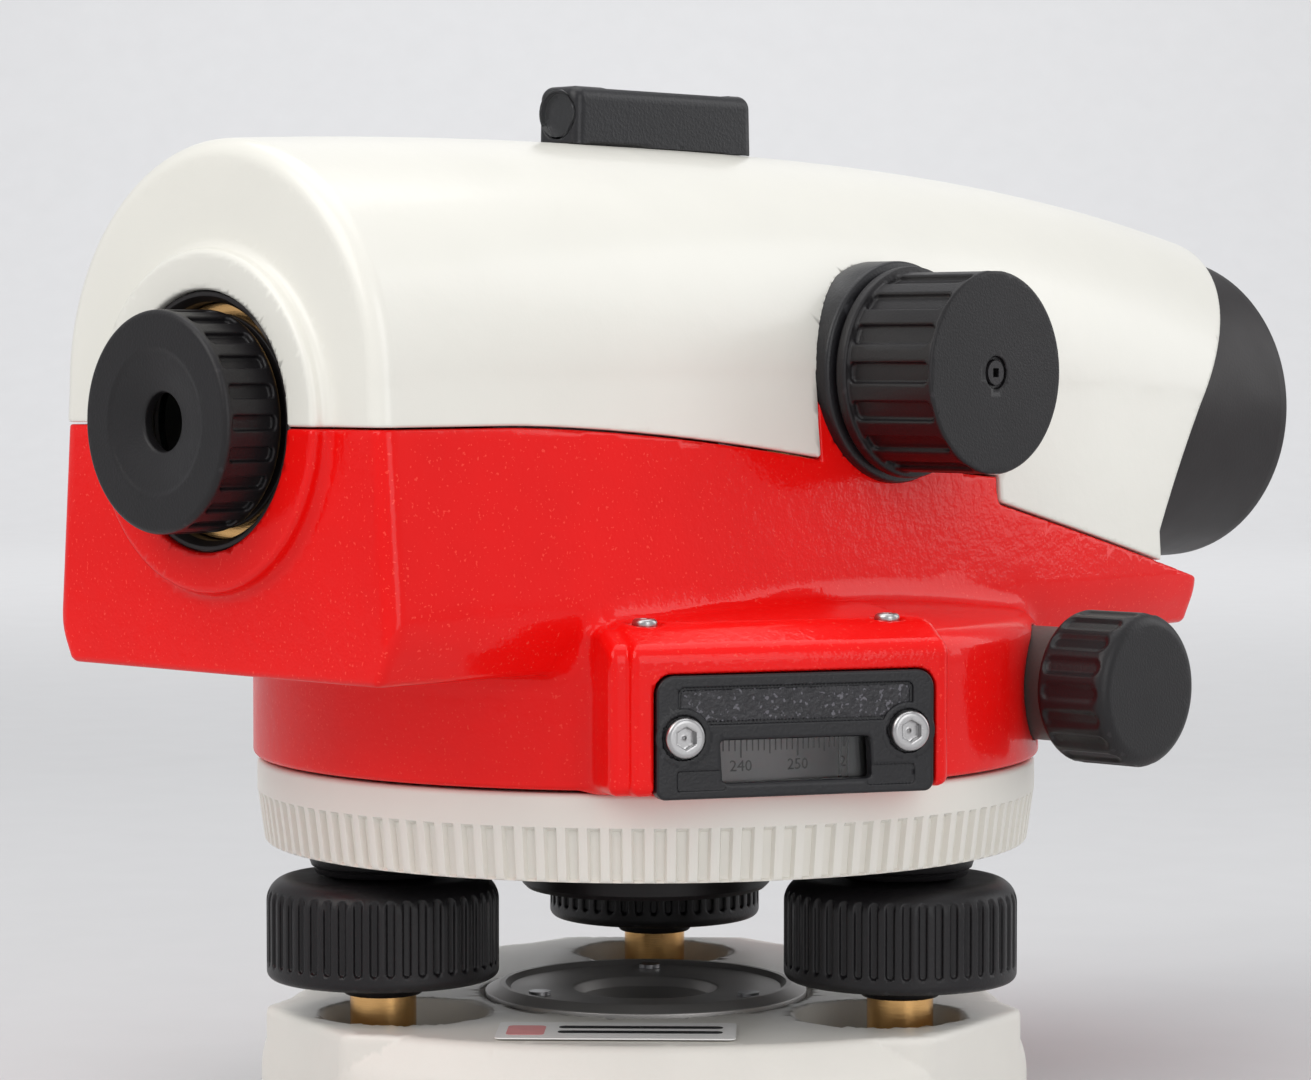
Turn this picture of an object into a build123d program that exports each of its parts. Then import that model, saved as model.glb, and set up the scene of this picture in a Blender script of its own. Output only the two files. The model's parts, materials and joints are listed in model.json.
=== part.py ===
from build123d import *
import math
import os

# Automatic optical level on a three-footscrew levelling base.
# Millimetres. Origin on the vertical axis at the underside of the base plate,
# +X from the eyepiece towards the objective, +Z up, focus knob on the -Y side.

# ---- driving dimensions ----
SIGHT_Z = 90.2            # height of the line of sight
OBJECTIVE_X = 110.7       # front of the objective barrel
EYEPIECE_X = -80.2        # rear face of the eyepiece knob
BODY_REAR_X = -71.4
BODY_HALF_WIDTH = 28.9
BODY_BOTTOM_Z = 60.5
BEVEL_HALF_WIDTH = 31.0   # the sides flare out to this where the bottom bevel starts
BOTTOM_HALF_WIDTH = 28.3
BEVEL_Z = 66.0            # where the flared side turns in to the flat bottom
WALL = 2.5                # wall of the cast housing and cover

RING_RADIUS = 50.0        # horizontal circle's hand ring
RING_Z0 = 36.0
RING_Z1 = 46.6
RING_FLUTES = 120
DRUM_RADIUS = 50.5
DRUM_Z0 = 47.0
DRUM_RIM_Z = 64.6         # the drum's top slopes up from its rim to the body
DRUM_Z1 = 67.8

BASE_HEIGHT = 15.9
BASE_FACET = 48.3         # axis to the flat face outside each foot
TOWER_HALF = 12.3         # half the width of that face at the top
SIDE_OFFSET = 22.6        # centre of each bulging side's curve, behind the axis
SIDE_RADIUS_TOP = 65.0    # curve of a side at the top edge
SIDE_RADIUS = 68.2        # the same below the bevel
BEVEL_Z0 = 9.9            # lower edge of the bevelled sides
RECESS_OFFSET = 3.2       # the foot recesses sit this much nearer the axis
SCREW_CIRCLE = 37.3       # axis to each footscrew
SCREW_ANGLES = {1: 162.7, 2: -77.3, 3: 42.7}

BALL_Z = 6.0              # centres of the foot balls
BALL_RADIUS = 3.0
FOOT_RADIUS = 4.15
FOOT_TOP_Z = 29.0
KNOB_RADIUS = 14.5
KNOB_Z0 = 20.2
KNOB_Z1 = 33.0
KNOB_FLUTES = 45
JOURNAL_RADIUS = 6.0
RUNNING = 0.05            # radial clearance of a running fit

THREAD_RADIUS = 6.95      # 5/8 in - 11 tripod thread, minor radius
INSERT_Z1 = 16.8

HEAD_RADIUS = 46.0        # disc of the levelling head, inside the circle ring's skirt
HEAD_DISC_Z0 = 36.4
HEAD_DISC_Z1 = 39.2
HEAD_HUB_RADIUS = 17.0
BUSH_RADIUS = 8.0         # brass bushes in which the footscrew knobs turn
BUSH_Z0 = 35.6
WEB_Z0 = 40.2             # web that carries the ring and the graduated circle
WEB_Z1 = 42.2

SPINDLE_RADIUS = 8.0
SPINDLE_SEAT_RADIUS = 12.0
SPINDLE_Z0 = 33.5
SPINDLE_SEAT_Z = 54.2
NUT_BORE = 5.0
NUT_Z0 = 71.2

DRIVE_X = 28.0
DRIVE_Z = 56.4
DRIVE_KNOB_RADIUS = 9.6
DRIVE_KNOB_FACE = 60.0    # the knobs' outer faces stand this far each side
DRIVE_KNOB_INNER = 49.3
DRIVE_SHAFT_END = 56.0
DRIVE_SHAFT_RADIUS = 2.5
DRIVE_BUSH_RADIUS = 7.2
WORM_RADIUS = 4.0
WHEEL_TEETH = 72

FOCUS_X = 14.7
FOCUS_Z = 95.7
FOCUS_KNOB_RADIUS = 12.6
FOCUS_KNOB_FACE = 46.2    # outer face, this far from the middle plane
FOCUS_KNOB_INNER = 31.2
FOCUS_SHAFT_RADIUS = 2.0
FOCUS_SHAFT_END = 44.0
FOCUS_BUSH_RADIUS = 5.0
PLUG_RADIUS = 1.5
FOCUS_BOSS_RADIUS = 13.5
PINION_RADIUS = 3.0

WINDOW_ANGLE = -116.5     # polar angle of the circle window
WINDOW_RADIUS = 54.0
WINDOW_TOP_Z = 63.8       # top of the window block at its outer face
WINDOW_LEFT = 22.4        # the block reaches this far to the left of the window
WINDOW_RIGHT = 19.4
WINDOW_SCREW_Y = 14.0     # screws of the window plate, each side of its middle
WINDOW_SCREW_Z = 53.8
SCALE_RADIUS = 42.0
SCALE_TOP_Z = 53.2

os.makedirs("parts", exist_ok=True)


# ---- helpers ----
def save(name, shape):
    """Write one node: all its solids as one compound."""
    solids = shape.solids() if hasattr(shape, "solids") else [s for p in shape for s in p.solids()]
    export_step(solids[0] if len(solids) == 1 else Compound(children=list(solids)), f"parts/{name}.step")


def tube_z(outer, inner, z0, z1, x=0.0, y=0.0):
    """Upright tube or, with inner 0, upright disc."""
    shape = Pos(x, y, (z0 + z1) / 2) * Cylinder(outer, z1 - z0)
    if inner:
        shape -= Pos(x, y, (z0 + z1) / 2) * Cylinder(inner, z1 - z0 + 1)
    return shape


def tube_x(outer, inner, x0, x1, z=SIGHT_Z, y=0.0):
    """Tube lying along X."""
    place = Pos((x0 + x1) / 2, y, z) * Rot(0, 90, 0)
    shape = place * Cylinder(outer, x1 - x0)
    if inner:
        shape -= place * Cylinder(inner, x1 - x0 + 1)
    return shape


def tube_y(outer, inner, y0, y1, x, z):
    """Tube lying along Y."""
    place = Pos(x, (y0 + y1) / 2, z) * Rot(90, 0, 0)
    shape = place * Cylinder(outer, abs(y1 - y0))
    if inner:
        shape -= place * Cylinder(inner, abs(y1 - y0) + 1)
    return shape


def block(x0, x1, y0, y1, z0, z1):
    return Pos((x0 + x1) / 2, (y0 + y1) / 2, (z0 + z1) / 2) * Box(x1 - x0, y1 - y0, z1 - z0)


def turned(points, axis_place):
    """Solid of revolution from (radius, height) points, standing at axis_place."""
    profile = make_face(Polyline(*[(r, 0, z) for r, z in points], close=True))
    return axis_place * revolve(profile, Axis.Z)


def flute_cutters(count, radius, cutter_radius, length, place):
    """Rods set round a knob, that cut its grip flutes."""
    rods = []
    for k in range(count):
        angle = math.radians(360 / count * k)
        rods.append(place * Pos(radius * math.cos(angle), radius * math.sin(angle), 0)
                    * Cylinder(cutter_radius, length))
    return rods


def screw_places():
    """Plan position of each footscrew, by its number."""
    places = {}
    for number, angle in SCREW_ANGLES.items():
        turn = math.radians(angle)
        places[number] = (SCREW_CIRCLE * math.cos(turn), SCREW_CIRCLE * math.sin(turn))
    return places


FEET = screw_places()


def pan_screw(radius, head, length, place):
    """Small screw: head above the origin of place, shank below it."""
    screw = Pos(0, 0, head / 2) * Cylinder(radius, head)
    screw += Pos(0, 0, -length / 2) * Cylinder(radius * 0.5, length)
    return place * screw


def shank_hole(radius, length, place):
    return place * Pos(0, 0, -length / 2) * Cylinder(radius * 0.5, length)


# ---- base ----
def side_solid(angle):
    """Everything inside one bulging side, with its bevel."""
    turn = math.radians(angle)
    centre = Pos(-SIDE_OFFSET * math.cos(turn), -SIDE_OFFSET * math.sin(turn), 0)
    return turned([(0, 0), (SIDE_RADIUS, 0), (SIDE_RADIUS, BEVEL_Z0), (SIDE_RADIUS_TOP, BASE_HEIGHT),
                   (0, BASE_HEIGHT)], centre)


def tower(angle):
    """Full-height block round one foot, with slanting side walls."""
    back = 36.0
    flare = TOWER_HALF + (BASE_FACET - back) * 0.864
    plan = make_face(Polyline((BASE_FACET, -TOWER_HALF), (BASE_FACET, TOWER_HALF), (back, flare),
                              (back, -flare), close=True))
    return Rot(0, 0, angle) * extrude(plan, BASE_HEIGHT)


def plate_body():
    """Three bulging sides with a bevel, flat faces outside the feet, and a tower at each foot."""
    body = None
    for angle in SCREW_ANGLES.values():
        side = side_solid(angle + 60)
        body = side if body is None else body & side
    for angle in SCREW_ANGLES.values():
        body -= Rot(0, 0, angle) * block(BASE_FACET, BASE_FACET + 20, -40, 40, -1, BASE_HEIGHT + 1)
    for angle in SCREW_ANGLES.values():
        body += tower(angle)
    return body


INSERT_RADIUS = 12.5
INSERT_FLANGE_RADIUS = 20.8
INSERT_FLOOR_Z = 12.0
INSERT_SCREW_RADIUS = 1.4
INSERT_SCREW_CIRCLE = 15.4
INSERT_SCREW_PLACES = [Pos(INSERT_SCREW_CIRCLE * math.cos(math.radians(a)),
                           INSERT_SCREW_CIRCLE * math.sin(math.radians(a)), INSERT_Z1 - 0.6)
                       for a in SCREW_ANGLES.values()]
SEAT_BORE = 7.5
RECESS_RADIUS = 10.3
SEAT_FLOOR_Z = 2.0
SEAT_TOP_Z = 5.4
RETAINER_Z0 = 8.4
RETAINER_Z1 = 9.4


def base_plate():
    plate = plate_body()
    for x, y in FEET.values():
        inward = (SCREW_CIRCLE - RECESS_OFFSET) / SCREW_CIRCLE
        plate -= tube_z(SEAT_BORE, 0, SEAT_FLOOR_Z, BASE_HEIGHT, x, y)
        plate -= tube_z(RECESS_RADIUS, 0, RETAINER_Z1, BASE_HEIGHT + 1, x * inward, y * inward)
    plate -= tube_z(INSERT_FLANGE_RADIUS, 0, INSERT_FLOOR_Z, BASE_HEIGHT + 1)
    plate -= tube_z(INSERT_RADIUS, 0, -1, INSERT_FLOOR_Z + 1)
    for place in INSERT_SCREW_PLACES:
        plate -= shank_hole(INSERT_SCREW_RADIUS, 9, place)
    # relief groove under the plate
    return plate - tube_z(24.0, 15.5, -1, 2.0)


def thread_insert():
    flange, floor = INSERT_FLANGE_RADIUS, INSERT_FLOOR_Z
    top = INSERT_Z1
    insert = turned([(THREAD_RADIUS, 0), (INSERT_RADIUS, 0), (INSERT_RADIUS, floor), (flange, floor),
                     (flange, top - 0.7), (flange - 1.2, top), (18.0, top), (17.4, top - 0.6),
                     (9.4, top - 0.6), (THREAD_RADIUS, top - 3.4)], Pos(0, 0, 0))
    for place in INSERT_SCREW_PLACES:
        insert -= shank_hole(INSERT_SCREW_RADIUS, 9, place)
        insert -= place * Pos(0, 0, 1) * Cylinder(INSERT_SCREW_RADIUS, 2)
    return insert


def insert_screws():
    return [pan_screw(INSERT_SCREW_RADIUS, 0.5, 7.5, place) for place in INSERT_SCREW_PLACES]


def foot_seats():
    seats = []
    for x, y in FEET.values():
        seat = tube_z(SEAT_BORE, 0, SEAT_FLOOR_Z, SEAT_TOP_Z, x, y)
        seats.append(seat - Pos(x, y, BALL_Z) * Sphere(BALL_RADIUS + RUNNING))
    return seats


def foot_retainers():
    return [tube_z(SEAT_BORE, 4.95, RETAINER_Z0, RETAINER_Z1, x, y) for x, y in FEET.values()]


def foot_ball(number):
    x, y = FEET[number]
    return Pos(x, y, BALL_Z) * Sphere(BALL_RADIUS)


# ---- footscrews ----
def foot(number):
    x, y = FEET[number]
    body = turned([(0, BALL_Z + 0.6), (5.5, BALL_Z + 0.6), (5.5, BALL_Z + 1.9), (FOOT_RADIUS, BALL_Z + 1.9),
                   (FOOT_RADIUS, FOOT_TOP_Z), (0, FOOT_TOP_Z)], Pos(x, y, 0))
    return body - Pos(x, y, BALL_Z) * Sphere(BALL_RADIUS + 0.2)


def footscrew_knob(number):
    x, y = FEET[number]
    bore = FOOT_RADIUS + RUNNING
    bore_end = FOOT_TOP_Z + 3.4
    knob = turned([(bore, KNOB_Z0 - 1.5), (bore + 0.6, KNOB_Z0 - 1.5), (bore + 0.6, KNOB_Z0),
                   (KNOB_RADIUS - 1.2, KNOB_Z0), (KNOB_RADIUS, KNOB_Z0 + 0.8), (KNOB_RADIUS, KNOB_Z1 - 3),
                   (KNOB_RADIUS - 1, KNOB_Z1 - 1), (KNOB_RADIUS - 3, KNOB_Z1), (JOURNAL_RADIUS, KNOB_Z1),
                   (JOURNAL_RADIUS, HEAD_DISC_Z1), (0, HEAD_DISC_Z1), (0, bore_end), (bore, bore_end)],
                  Pos(x, y, 0))
    middle = Pos(x, y, (KNOB_Z0 + KNOB_Z1) / 2 - 0.6)
    return knob - flute_cutters(KNOB_FLUTES, KNOB_RADIUS + 0.35, 0.6, KNOB_Z1 - KNOB_Z0 - 4.5, middle)


def dust_caps():
    return [tube_z(9.0, JOURNAL_RADIUS + 0.3, KNOB_Z1 + 0.3, BUSH_Z0, x, y) for x, y in FEET.values()]


def footscrew_bushes():
    bore = JOURNAL_RADIUS + RUNNING
    return [tube_z(BUSH_RADIUS, bore, BUSH_Z0, HEAD_DISC_Z1, x, y) for x, y in FEET.values()]


# ---- levelling head and vertical axis ----
def levelling_head():
    head = tube_z(HEAD_RADIUS, 0, HEAD_DISC_Z0, HEAD_DISC_Z1)
    head += turned([(0, 29.3), (15.4, 29.3), (16.0, 29.9), (16.0, 36.5), (0, 36.5)], Pos(0, 0, 0))
    head += tube_z(HEAD_HUB_RADIUS, 0, HEAD_DISC_Z1 - 0.1, WEB_Z1 + 0.3)
    for x, y in FEET.values():
        head += tube_z(10.8, 0, BUSH_Z0, HEAD_DISC_Z0 + 0.1, x, y) & tube_z(HEAD_RADIUS, 0, 30, 40)
    for x, y in FEET.values():
        head -= tube_z(BUSH_RADIUS, 0, 35.0, 40, x, y)
    return head - tube_z(SPINDLE_RADIUS, 0, SPINDLE_Z0, 45)


def spindle():
    flange_z = WEB_Z1 + 0.3
    return turned([(0, SPINDLE_Z0), (SPINDLE_RADIUS, SPINDLE_Z0), (SPINDLE_RADIUS, flange_z), (15, flange_z),
                   (15, SPINDLE_SEAT_Z), (SPINDLE_SEAT_RADIUS, SPINDLE_SEAT_Z), (SPINDLE_SEAT_RADIUS, 59.2),
                   (SPINDLE_RADIUS, 59.2), (SPINDLE_RADIUS, NUT_Z0), (NUT_BORE, NUT_Z0), (NUT_BORE, 73.6),
                   (0, 73.6)], Pos(0, 0, 0))


def spindle_nut():
    return tube_z(9.5, NUT_BORE, NUT_Z0, 73.4)


# ---- horizontal circle ----
def circle_ring():
    bore = HEAD_HUB_RADIUS + RUNNING
    skirt = HEAD_RADIUS + 0.4
    ring = turned([(bore, WEB_Z0), (skirt, WEB_Z0), (skirt, RING_Z0), (RING_RADIUS - 0.9, RING_Z0),
                   (RING_RADIUS, RING_Z0 + 6.6), (RING_RADIUS, RING_Z1), (skirt - 0.9, RING_Z1),
                   (skirt - 0.9, WEB_Z1), (bore, WEB_Z1)], Pos(0, 0, 0))
    cutters = flute_cutters(RING_FLUTES, RING_RADIUS + 0.25, 0.75, 5.4, Pos(0, 0, RING_Z0 + 3.2))
    return ring - cutters


def graduated_circle():
    inner = SCALE_RADIUS - 1.2
    return turned([(20, WEB_Z1), (SCALE_RADIUS, WEB_Z1), (SCALE_RADIUS, SCALE_TOP_Z), (inner, SCALE_TOP_Z),
                   (inner, WEB_Z1 + 1.3), (20, WEB_Z1 + 1.3)], Pos(0, 0, 0))


# ---- horizontal drive ----
def worm_wheel():
    tip = DRIVE_X - WORM_RADIUS - 0.3
    points = []
    for k in range(WHEEL_TEETH):
        for share, radius in ((0.0, tip - 0.9), (0.3, tip - 0.9), (0.45, tip), (0.85, tip)):
            angle = math.radians((k + share) * 360 / WHEEL_TEETH)
            points.append((radius * math.cos(angle), radius * math.sin(angle)))
    wheel = Pos(0, 0, SPINDLE_SEAT_Z + 0.2) * extrude(make_face(Polyline(*points, close=True)), 4.0)
    return wheel - tube_z(SPINDLE_SEAT_RADIUS + RUNNING, 0, 50, 62)


def drive_shaft():
    shaft = tube_y(DRIVE_SHAFT_RADIUS, 0, -DRIVE_SHAFT_END, DRIVE_SHAFT_END, DRIVE_X, DRIVE_Z)
    return shaft + tube_y(WORM_RADIUS, 0, -8, 8, DRIVE_X, DRIVE_Z)


def drive_knob(side):
    """side -1 for the knob on the focus knob's side, 1 for the one opposite."""
    place = Pos(DRIVE_X, 0, DRIVE_Z) * Rot(-90 * side, 0, 0)
    inner, face = DRIVE_KNOB_INNER, DRIVE_KNOB_FACE
    knob = turned([(DRIVE_SHAFT_RADIUS, inner), (DRIVE_KNOB_RADIUS - 1, inner),
                   (DRIVE_KNOB_RADIUS, inner + 1),
                   (DRIVE_KNOB_RADIUS, face - 1.5), (DRIVE_KNOB_RADIUS - 1.5, face), (0, face),
                   (0, DRIVE_SHAFT_END), (DRIVE_SHAFT_RADIUS, DRIVE_SHAFT_END)], place)
    cutters = flute_cutters(18, DRIVE_KNOB_RADIUS + 0.9, 1.2, 7, place * Pos(0, 0, (inner + face) / 2))
    return knob - cutters


def drive_bushes():
    bore = DRIVE_SHAFT_RADIUS + RUNNING
    return [tube_y(DRIVE_BUSH_RADIUS, bore, 38.5 * side, 48.8 * side, DRIVE_X, DRIVE_Z) for side in (-1, 1)]


# ---- housing and cover ----
NOSE_X = 84.0             # front of the lower housing, under the objective
BODY_STATIONS = [
    # x, half width at the crown, where the bevel starts and at the bottom, bottom z, crown z
    (BODY_REAR_X, BODY_HALF_WIDTH, BEVEL_HALF_WIDTH, BOTTOM_HALF_WIDTH, BODY_BOTTOM_Z, 123.0),
    (-22.0, BODY_HALF_WIDTH, BEVEL_HALF_WIDTH, BOTTOM_HALF_WIDTH, BODY_BOTTOM_Z, 124.4),
    (22.0, BODY_HALF_WIDTH, BEVEL_HALF_WIDTH, BOTTOM_HALF_WIDTH, BODY_BOTTOM_Z, 123.8),
    (55.0, 28.4, 30.0, 27.5, BODY_BOTTOM_Z, 121.7),
    (104.0, 24.8, 25.8, 23.9, 62.5, 114.9),
]


def section(x, half_top, half_bevel, half_low, z_low, z_bevel, crown):
    """Closed body section at x: flat bottom, bevel, flared sides, arched crown."""
    spring = crown - half_top
    arc = ThreePointArc((x, half_top, spring), (x, 0, crown), (x, -half_top, spring))
    rest = Polyline((x, -half_top, spring), (x, -half_bevel, z_bevel), (x, -half_low, z_low),
                    (x, half_low, z_low), (x, half_bevel, z_bevel), (x, half_top, spring))
    return make_face(Wire([arc, *rest.edges()]))


def body_solid(inset):
    """The whole body, or with an inset the space inside its walls."""
    faces = []
    for index, (x, half, bevel, low, z_low, crown) in enumerate(BODY_STATIONS):
        end = inset if index == 0 else -inset if index == len(BODY_STATIONS) - 1 else 0
        faces.append(section(x + end, half - inset, bevel - inset, low - inset, z_low + inset,
                             BEVEL_Z + inset / 2, crown - inset))
    return loft(faces)


def seam_region():
    """Everything below the joint between housing and cover, cut by a sheet across Y."""
    start = Line((-80, 0, 89.65), (-52, 0, 89.65))
    curve = Spline((-52, 0, 89.65), (-37.5, 0, 89.05), (-20.7, 0, 87.7), (0.5, 0, 85.1),
                   tangents=[(1, 0, 0), (1, 0, -0.12)])
    rest = Polyline((0.5, 0, 85.1), (35.2, 0, 82.2), (35.2, 0, 78.7), (80, 0, 67.4), (112, 0, 59.3),
                    (112, 0, 20), (-80, 0, 20), (-80, 0, 89.65))
    face = make_face(Wire([start, curve, *rest.edges()]))
    region = extrude(face, 45, dir=(0, 1, 0), both=True)
    return region + tube_y(FOCUS_BOSS_RADIUS, 0, -45, -20, FOCUS_X, FOCUS_Z)


def front_region():
    """What lies ahead of the cover's leaning front edge."""
    edge = [(71.0, 0, 60), (71.0, 0, 73.9), (75.8, 0, 82.0), (81.3, 0, 90.2), (86.5, 0, 96.4),
            (93.0, 0, 103.5), (99.8, 0, 110.5), (103.0, 0, 114.0), (104.5, 0, 125)]
    face = make_face(Polyline(*edge, (115, 0, 125), (115, 0, 60), close=True))
    return extrude(face, 45, dir=(0, 1, 0), both=True)


def window_block(z0, z1, radius, half_left, half_right, back):
    """Block whose flat face looks out along the window's direction."""
    return Rot(0, 0, WINDOW_ANGLE) * block(back, radius, -half_left, half_right, z0, z1)


def window_housing():
    """The block round the window, with a roof that slopes up from its face to the drum."""
    side = make_face(Polyline((30, 0, DRUM_Z0), (WINDOW_RADIUS, 0, DRUM_Z0), (WINDOW_RADIUS, 0, WINDOW_TOP_Z),
                              (WINDOW_RADIUS - 5, 0, ROOF_Z), (30, 0, ROOF_Z), close=True))
    width = WINDOW_LEFT + WINDOW_RIGHT
    return Rot(0, 0, WINDOW_ANGLE) * Pos(0, WINDOW_RIGHT, 0) * extrude(side, width, dir=(0, -1, 0))


ROOF_Z = 66.6             # the window block's roof, where it meets the drum
BARREL_RADIUS = 22.0
EYEPIECE_BORE = 15.2
EYEPIECE_BOSS_RADIUS = 20.0
EYEPIECE_KNOB_RADIUS = 12.9
GUIDE_RADIUS = 10.4
BEARING_BOSS_RADIUS = 13.0
SLEEVE_RADIUS = 10.5
SLEEVE_TOP_Z = 70.9
PLATE_HALF = 17.4
PLATE_Z0 = 46.6
PLATE_Z1 = 61.0
PLATE_DEPTH = 1.8
COVER_SCREW_Z = 61.8       # seats of the screws that hold the cover, sunk in the underside
COVER_SCREW_SEAT = 2.8
COVER_SCREW_PLACES = [(-60, -22.9), (-60, 22.9), (50, -22.4), (50, 22.4)]
LEDGE_SCREW_PLACES = [Rot(0, 0, WINDOW_ANGLE) * Pos(47.0, y, ROOF_Z) for y in (-16.7, 13.8)]
OUTER_BODY = body_solid(0)
INSIDE = body_solid(WALL) - block(-90, 100, -40, 40, 50, BODY_BOTTOM_Z + WALL)
HOLLOW_BODY = OUTER_BODY - INSIDE
BELOW_SEAM = seam_region()
AHEAD = front_region()


def openings():
    """Holes through the body walls that both halves share."""
    holes = tube_x(EYEPIECE_BORE, 0, BODY_REAR_X - 3, BODY_REAR_X + 6)
    holes += tube_x(BARREL_RADIUS, 0, 66, 112)
    holes += tube_y(FOCUS_BUSH_RADIUS, 0, -36, -22, FOCUS_X, FOCUS_Z)
    return holes


HOLES = openings()


def drum_solid():
    return turned([(0, DRUM_Z0), (DRUM_RADIUS, DRUM_Z0), (DRUM_RADIUS, DRUM_RIM_Z - 1.5),
                   (DRUM_RADIUS - 1.5, DRUM_RIM_Z), (30, DRUM_Z1), (0, DRUM_Z1)], Pos(0, 0, 0))


def lower_housing():
    drum_inside = tube_z(DRUM_RADIUS - WALL, 0, DRUM_Z0 - 2, BODY_BOTTOM_Z)
    shell = (HOLLOW_BODY & BELOW_SEAM) - block(NOSE_X, 115, -40, 40, 50, 90)
    shell += drum_solid() - INSIDE - drum_inside
    shell += window_housing() - INSIDE - drum_inside
    shell += tube_y(FOCUS_BOSS_RADIUS, 0, -30.5, -26.0, FOCUS_X, FOCUS_Z)
    shell += tube_x(EYEPIECE_BOSS_RADIUS, 0, BODY_REAR_X - 2, BODY_REAR_X + 2) & BELOW_SEAM
    shell += tube_z(BEARING_BOSS_RADIUS, 0, BODY_BOTTOM_Z - 0.1, SLEEVE_TOP_Z)
    shell -= tube_z(SLEEVE_RADIUS, 0, 50, 80)
    shell -= HOLES
    # seat, sight hole and screws of the window plate
    plate_back = WINDOW_RADIUS - PLATE_DEPTH
    shell -= window_block(DRUM_Z0 - 2, PLATE_Z1, WINDOW_RADIUS + 5, PLATE_HALF, PLATE_HALF, plate_back)
    shell -= window_block(PLATE_Z0 + 1, 54.6, WINDOW_RADIUS + 5, 11.0, 11.0, 40)
    for side in (-1, 1):
        shell -= tube_y(DRIVE_BUSH_RADIUS, 0, 30 * side, 55 * side, DRIVE_X, DRIVE_Z)
        screw_y = WINDOW_SCREW_Y * side
        shell -= Rot(0, 0, WINDOW_ANGLE) * tube_x(1.2, 0, 47.5, 56, WINDOW_SCREW_Z, screw_y)
    for place in LEDGE_SCREW_PLACES:
        shell -= shank_hole(1.5, 7, place)
        shell -= place * Pos(0, 0, 1.5) * Cylinder(1.6, 3)
    for x, y in COVER_SCREW_PLACES:
        shell -= tube_z(1.25, 0, 55, 64, x, y)
        shell -= tube_z(COVER_SCREW_SEAT, 0, 55, COVER_SCREW_Z, x, y)
    return shell


def upper_cover():
    cover = (HOLLOW_BODY - BELOW_SEAM) - AHEAD
    cover += tube_x(EYEPIECE_BOSS_RADIUS, 0, BODY_REAR_X - 2, BODY_REAR_X + 2) - BELOW_SEAM
    # sloping wall that closes the front round the objective
    cover += ((INSIDE - BELOW_SEAM) & (Pos(-WALL, 0, 0) * AHEAD)) - AHEAD
    cover -= HOLES
    for x, y in COVER_SCREW_PLACES:
        side = 1 if y > 0 else -1
        low, high = sorted((y, (BODY_HALF_WIDTH - 1.5) * side))
        pillar = tube_z(3.2, 0, 67.5, 98, x, y)
        web = block(x - 1.5, x + 1.5, low, high, 90.5, 98)
        cover += (pillar + web) - tube_z(1.25, 0, 60, 71, x, y)
    return cover


def cover_screws():
    places = [Pos(x, y, COVER_SCREW_Z) * Rot(180, 0, 0) for x, y in COVER_SCREW_PLACES]
    return [pan_screw(2.5, 1.2, 8.5, place) for place in places]


def bearing_sleeve():
    return tube_z(SLEEVE_RADIUS, SPINDLE_RADIUS + RUNNING, 59.5, SLEEVE_TOP_Z)


def window_plate():
    half = PLATE_HALF - 0.1
    plate = window_block(PLATE_Z0, PLATE_Z1, WINDOW_RADIUS, half, half, WINDOW_RADIUS - PLATE_DEPTH)
    plate -= window_block(48.4, 53.3, WINDOW_RADIUS + 5, 9.3, 9.3, 40)
    for side in (-1, 1):
        plate -= Rot(0, 0, WINDOW_ANGLE) * tube_x(1.2, 0, 45, 60, WINDOW_SCREW_Z, WINDOW_SCREW_Y * side)
    return plate


def window_glass():
    plate_back = WINDOW_RADIUS - PLATE_DEPTH
    return window_block(47.9, 54.2, plate_back, 10.5, 10.5, plate_back - 1)


def window_screws():
    screws = []
    for side in (-1, 1):
        face = Rot(0, 0, WINDOW_ANGLE) * Pos(WINDOW_RADIUS, WINDOW_SCREW_Y * side, WINDOW_SCREW_Z)
        face *= Rot(0, 90, 0)
        socket = shank_hole(2.4, 0.9, face * Pos(0, 0, 1.31))
        screws.append(pan_screw(2.4, 1.3, 5.5, face) - socket)
    return screws


def ledge_screws():
    return [pan_screw(1.5, 0.9, 6, place) for place in LEDGE_SCREW_PLACES]


# ---- telescope ----
def objective_barrel():
    # outer barrel with a flange inside the body and a rounded front rim
    outline = [(19.5, 62.0), (24.0, 62.0), (24.0, 64.0), (BARREL_RADIUS, 64.0),
               (BARREL_RADIUS, OBJECTIVE_X - 1), (BARREL_RADIUS - 1, OBJECTIVE_X), (19.8, OBJECTIVE_X),
               (19.5, OBJECTIVE_X - 3)]
    return turned(outline, Pos(0, 0, SIGHT_Z) * Rot(0, 90, 0))


def lens(x_rear, x_front, radius, rear_sag, front_sag):
    """Round lens; a positive sag bulges outwards, a negative one is hollow."""
    def face_line(x, sag):
        ends = (0, 0, x + sag), (radius, 0, x)
        if not sag:
            return Line(*ends)
        return ThreePointArc(ends[0], (radius / 2, 0, x + sag * 0.75), ends[1])

    axis_line = Line((0, 0, x_rear - rear_sag), (0, 0, x_front + front_sag))
    rim = Line((radius, 0, x_front), (radius, 0, x_rear))
    profile = make_face(Wire([axis_line, face_line(x_front, front_sag), rim, face_line(x_rear, -rear_sag)]))
    return Pos(0, 0, SIGHT_Z) * Rot(0, 90, 0) * revolve(profile, Axis.Z)


def telescope_tube():
    tube = tube_x(19.5, 15.0, 76, 92) + tube_x(16.4, 14.4, 28, 76)
    # slot that lets the rack's arm reach the lens cell
    return tube - tube_x(15.0, 0, 75.9, 93) - block(20, 50, -25, -10, RACK_Z - 4.2, RACK_Z + 0.6)


CELL_RADIUS = 14.3
RACK_Z = FOCUS_Z - PINION_RADIUS


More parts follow.
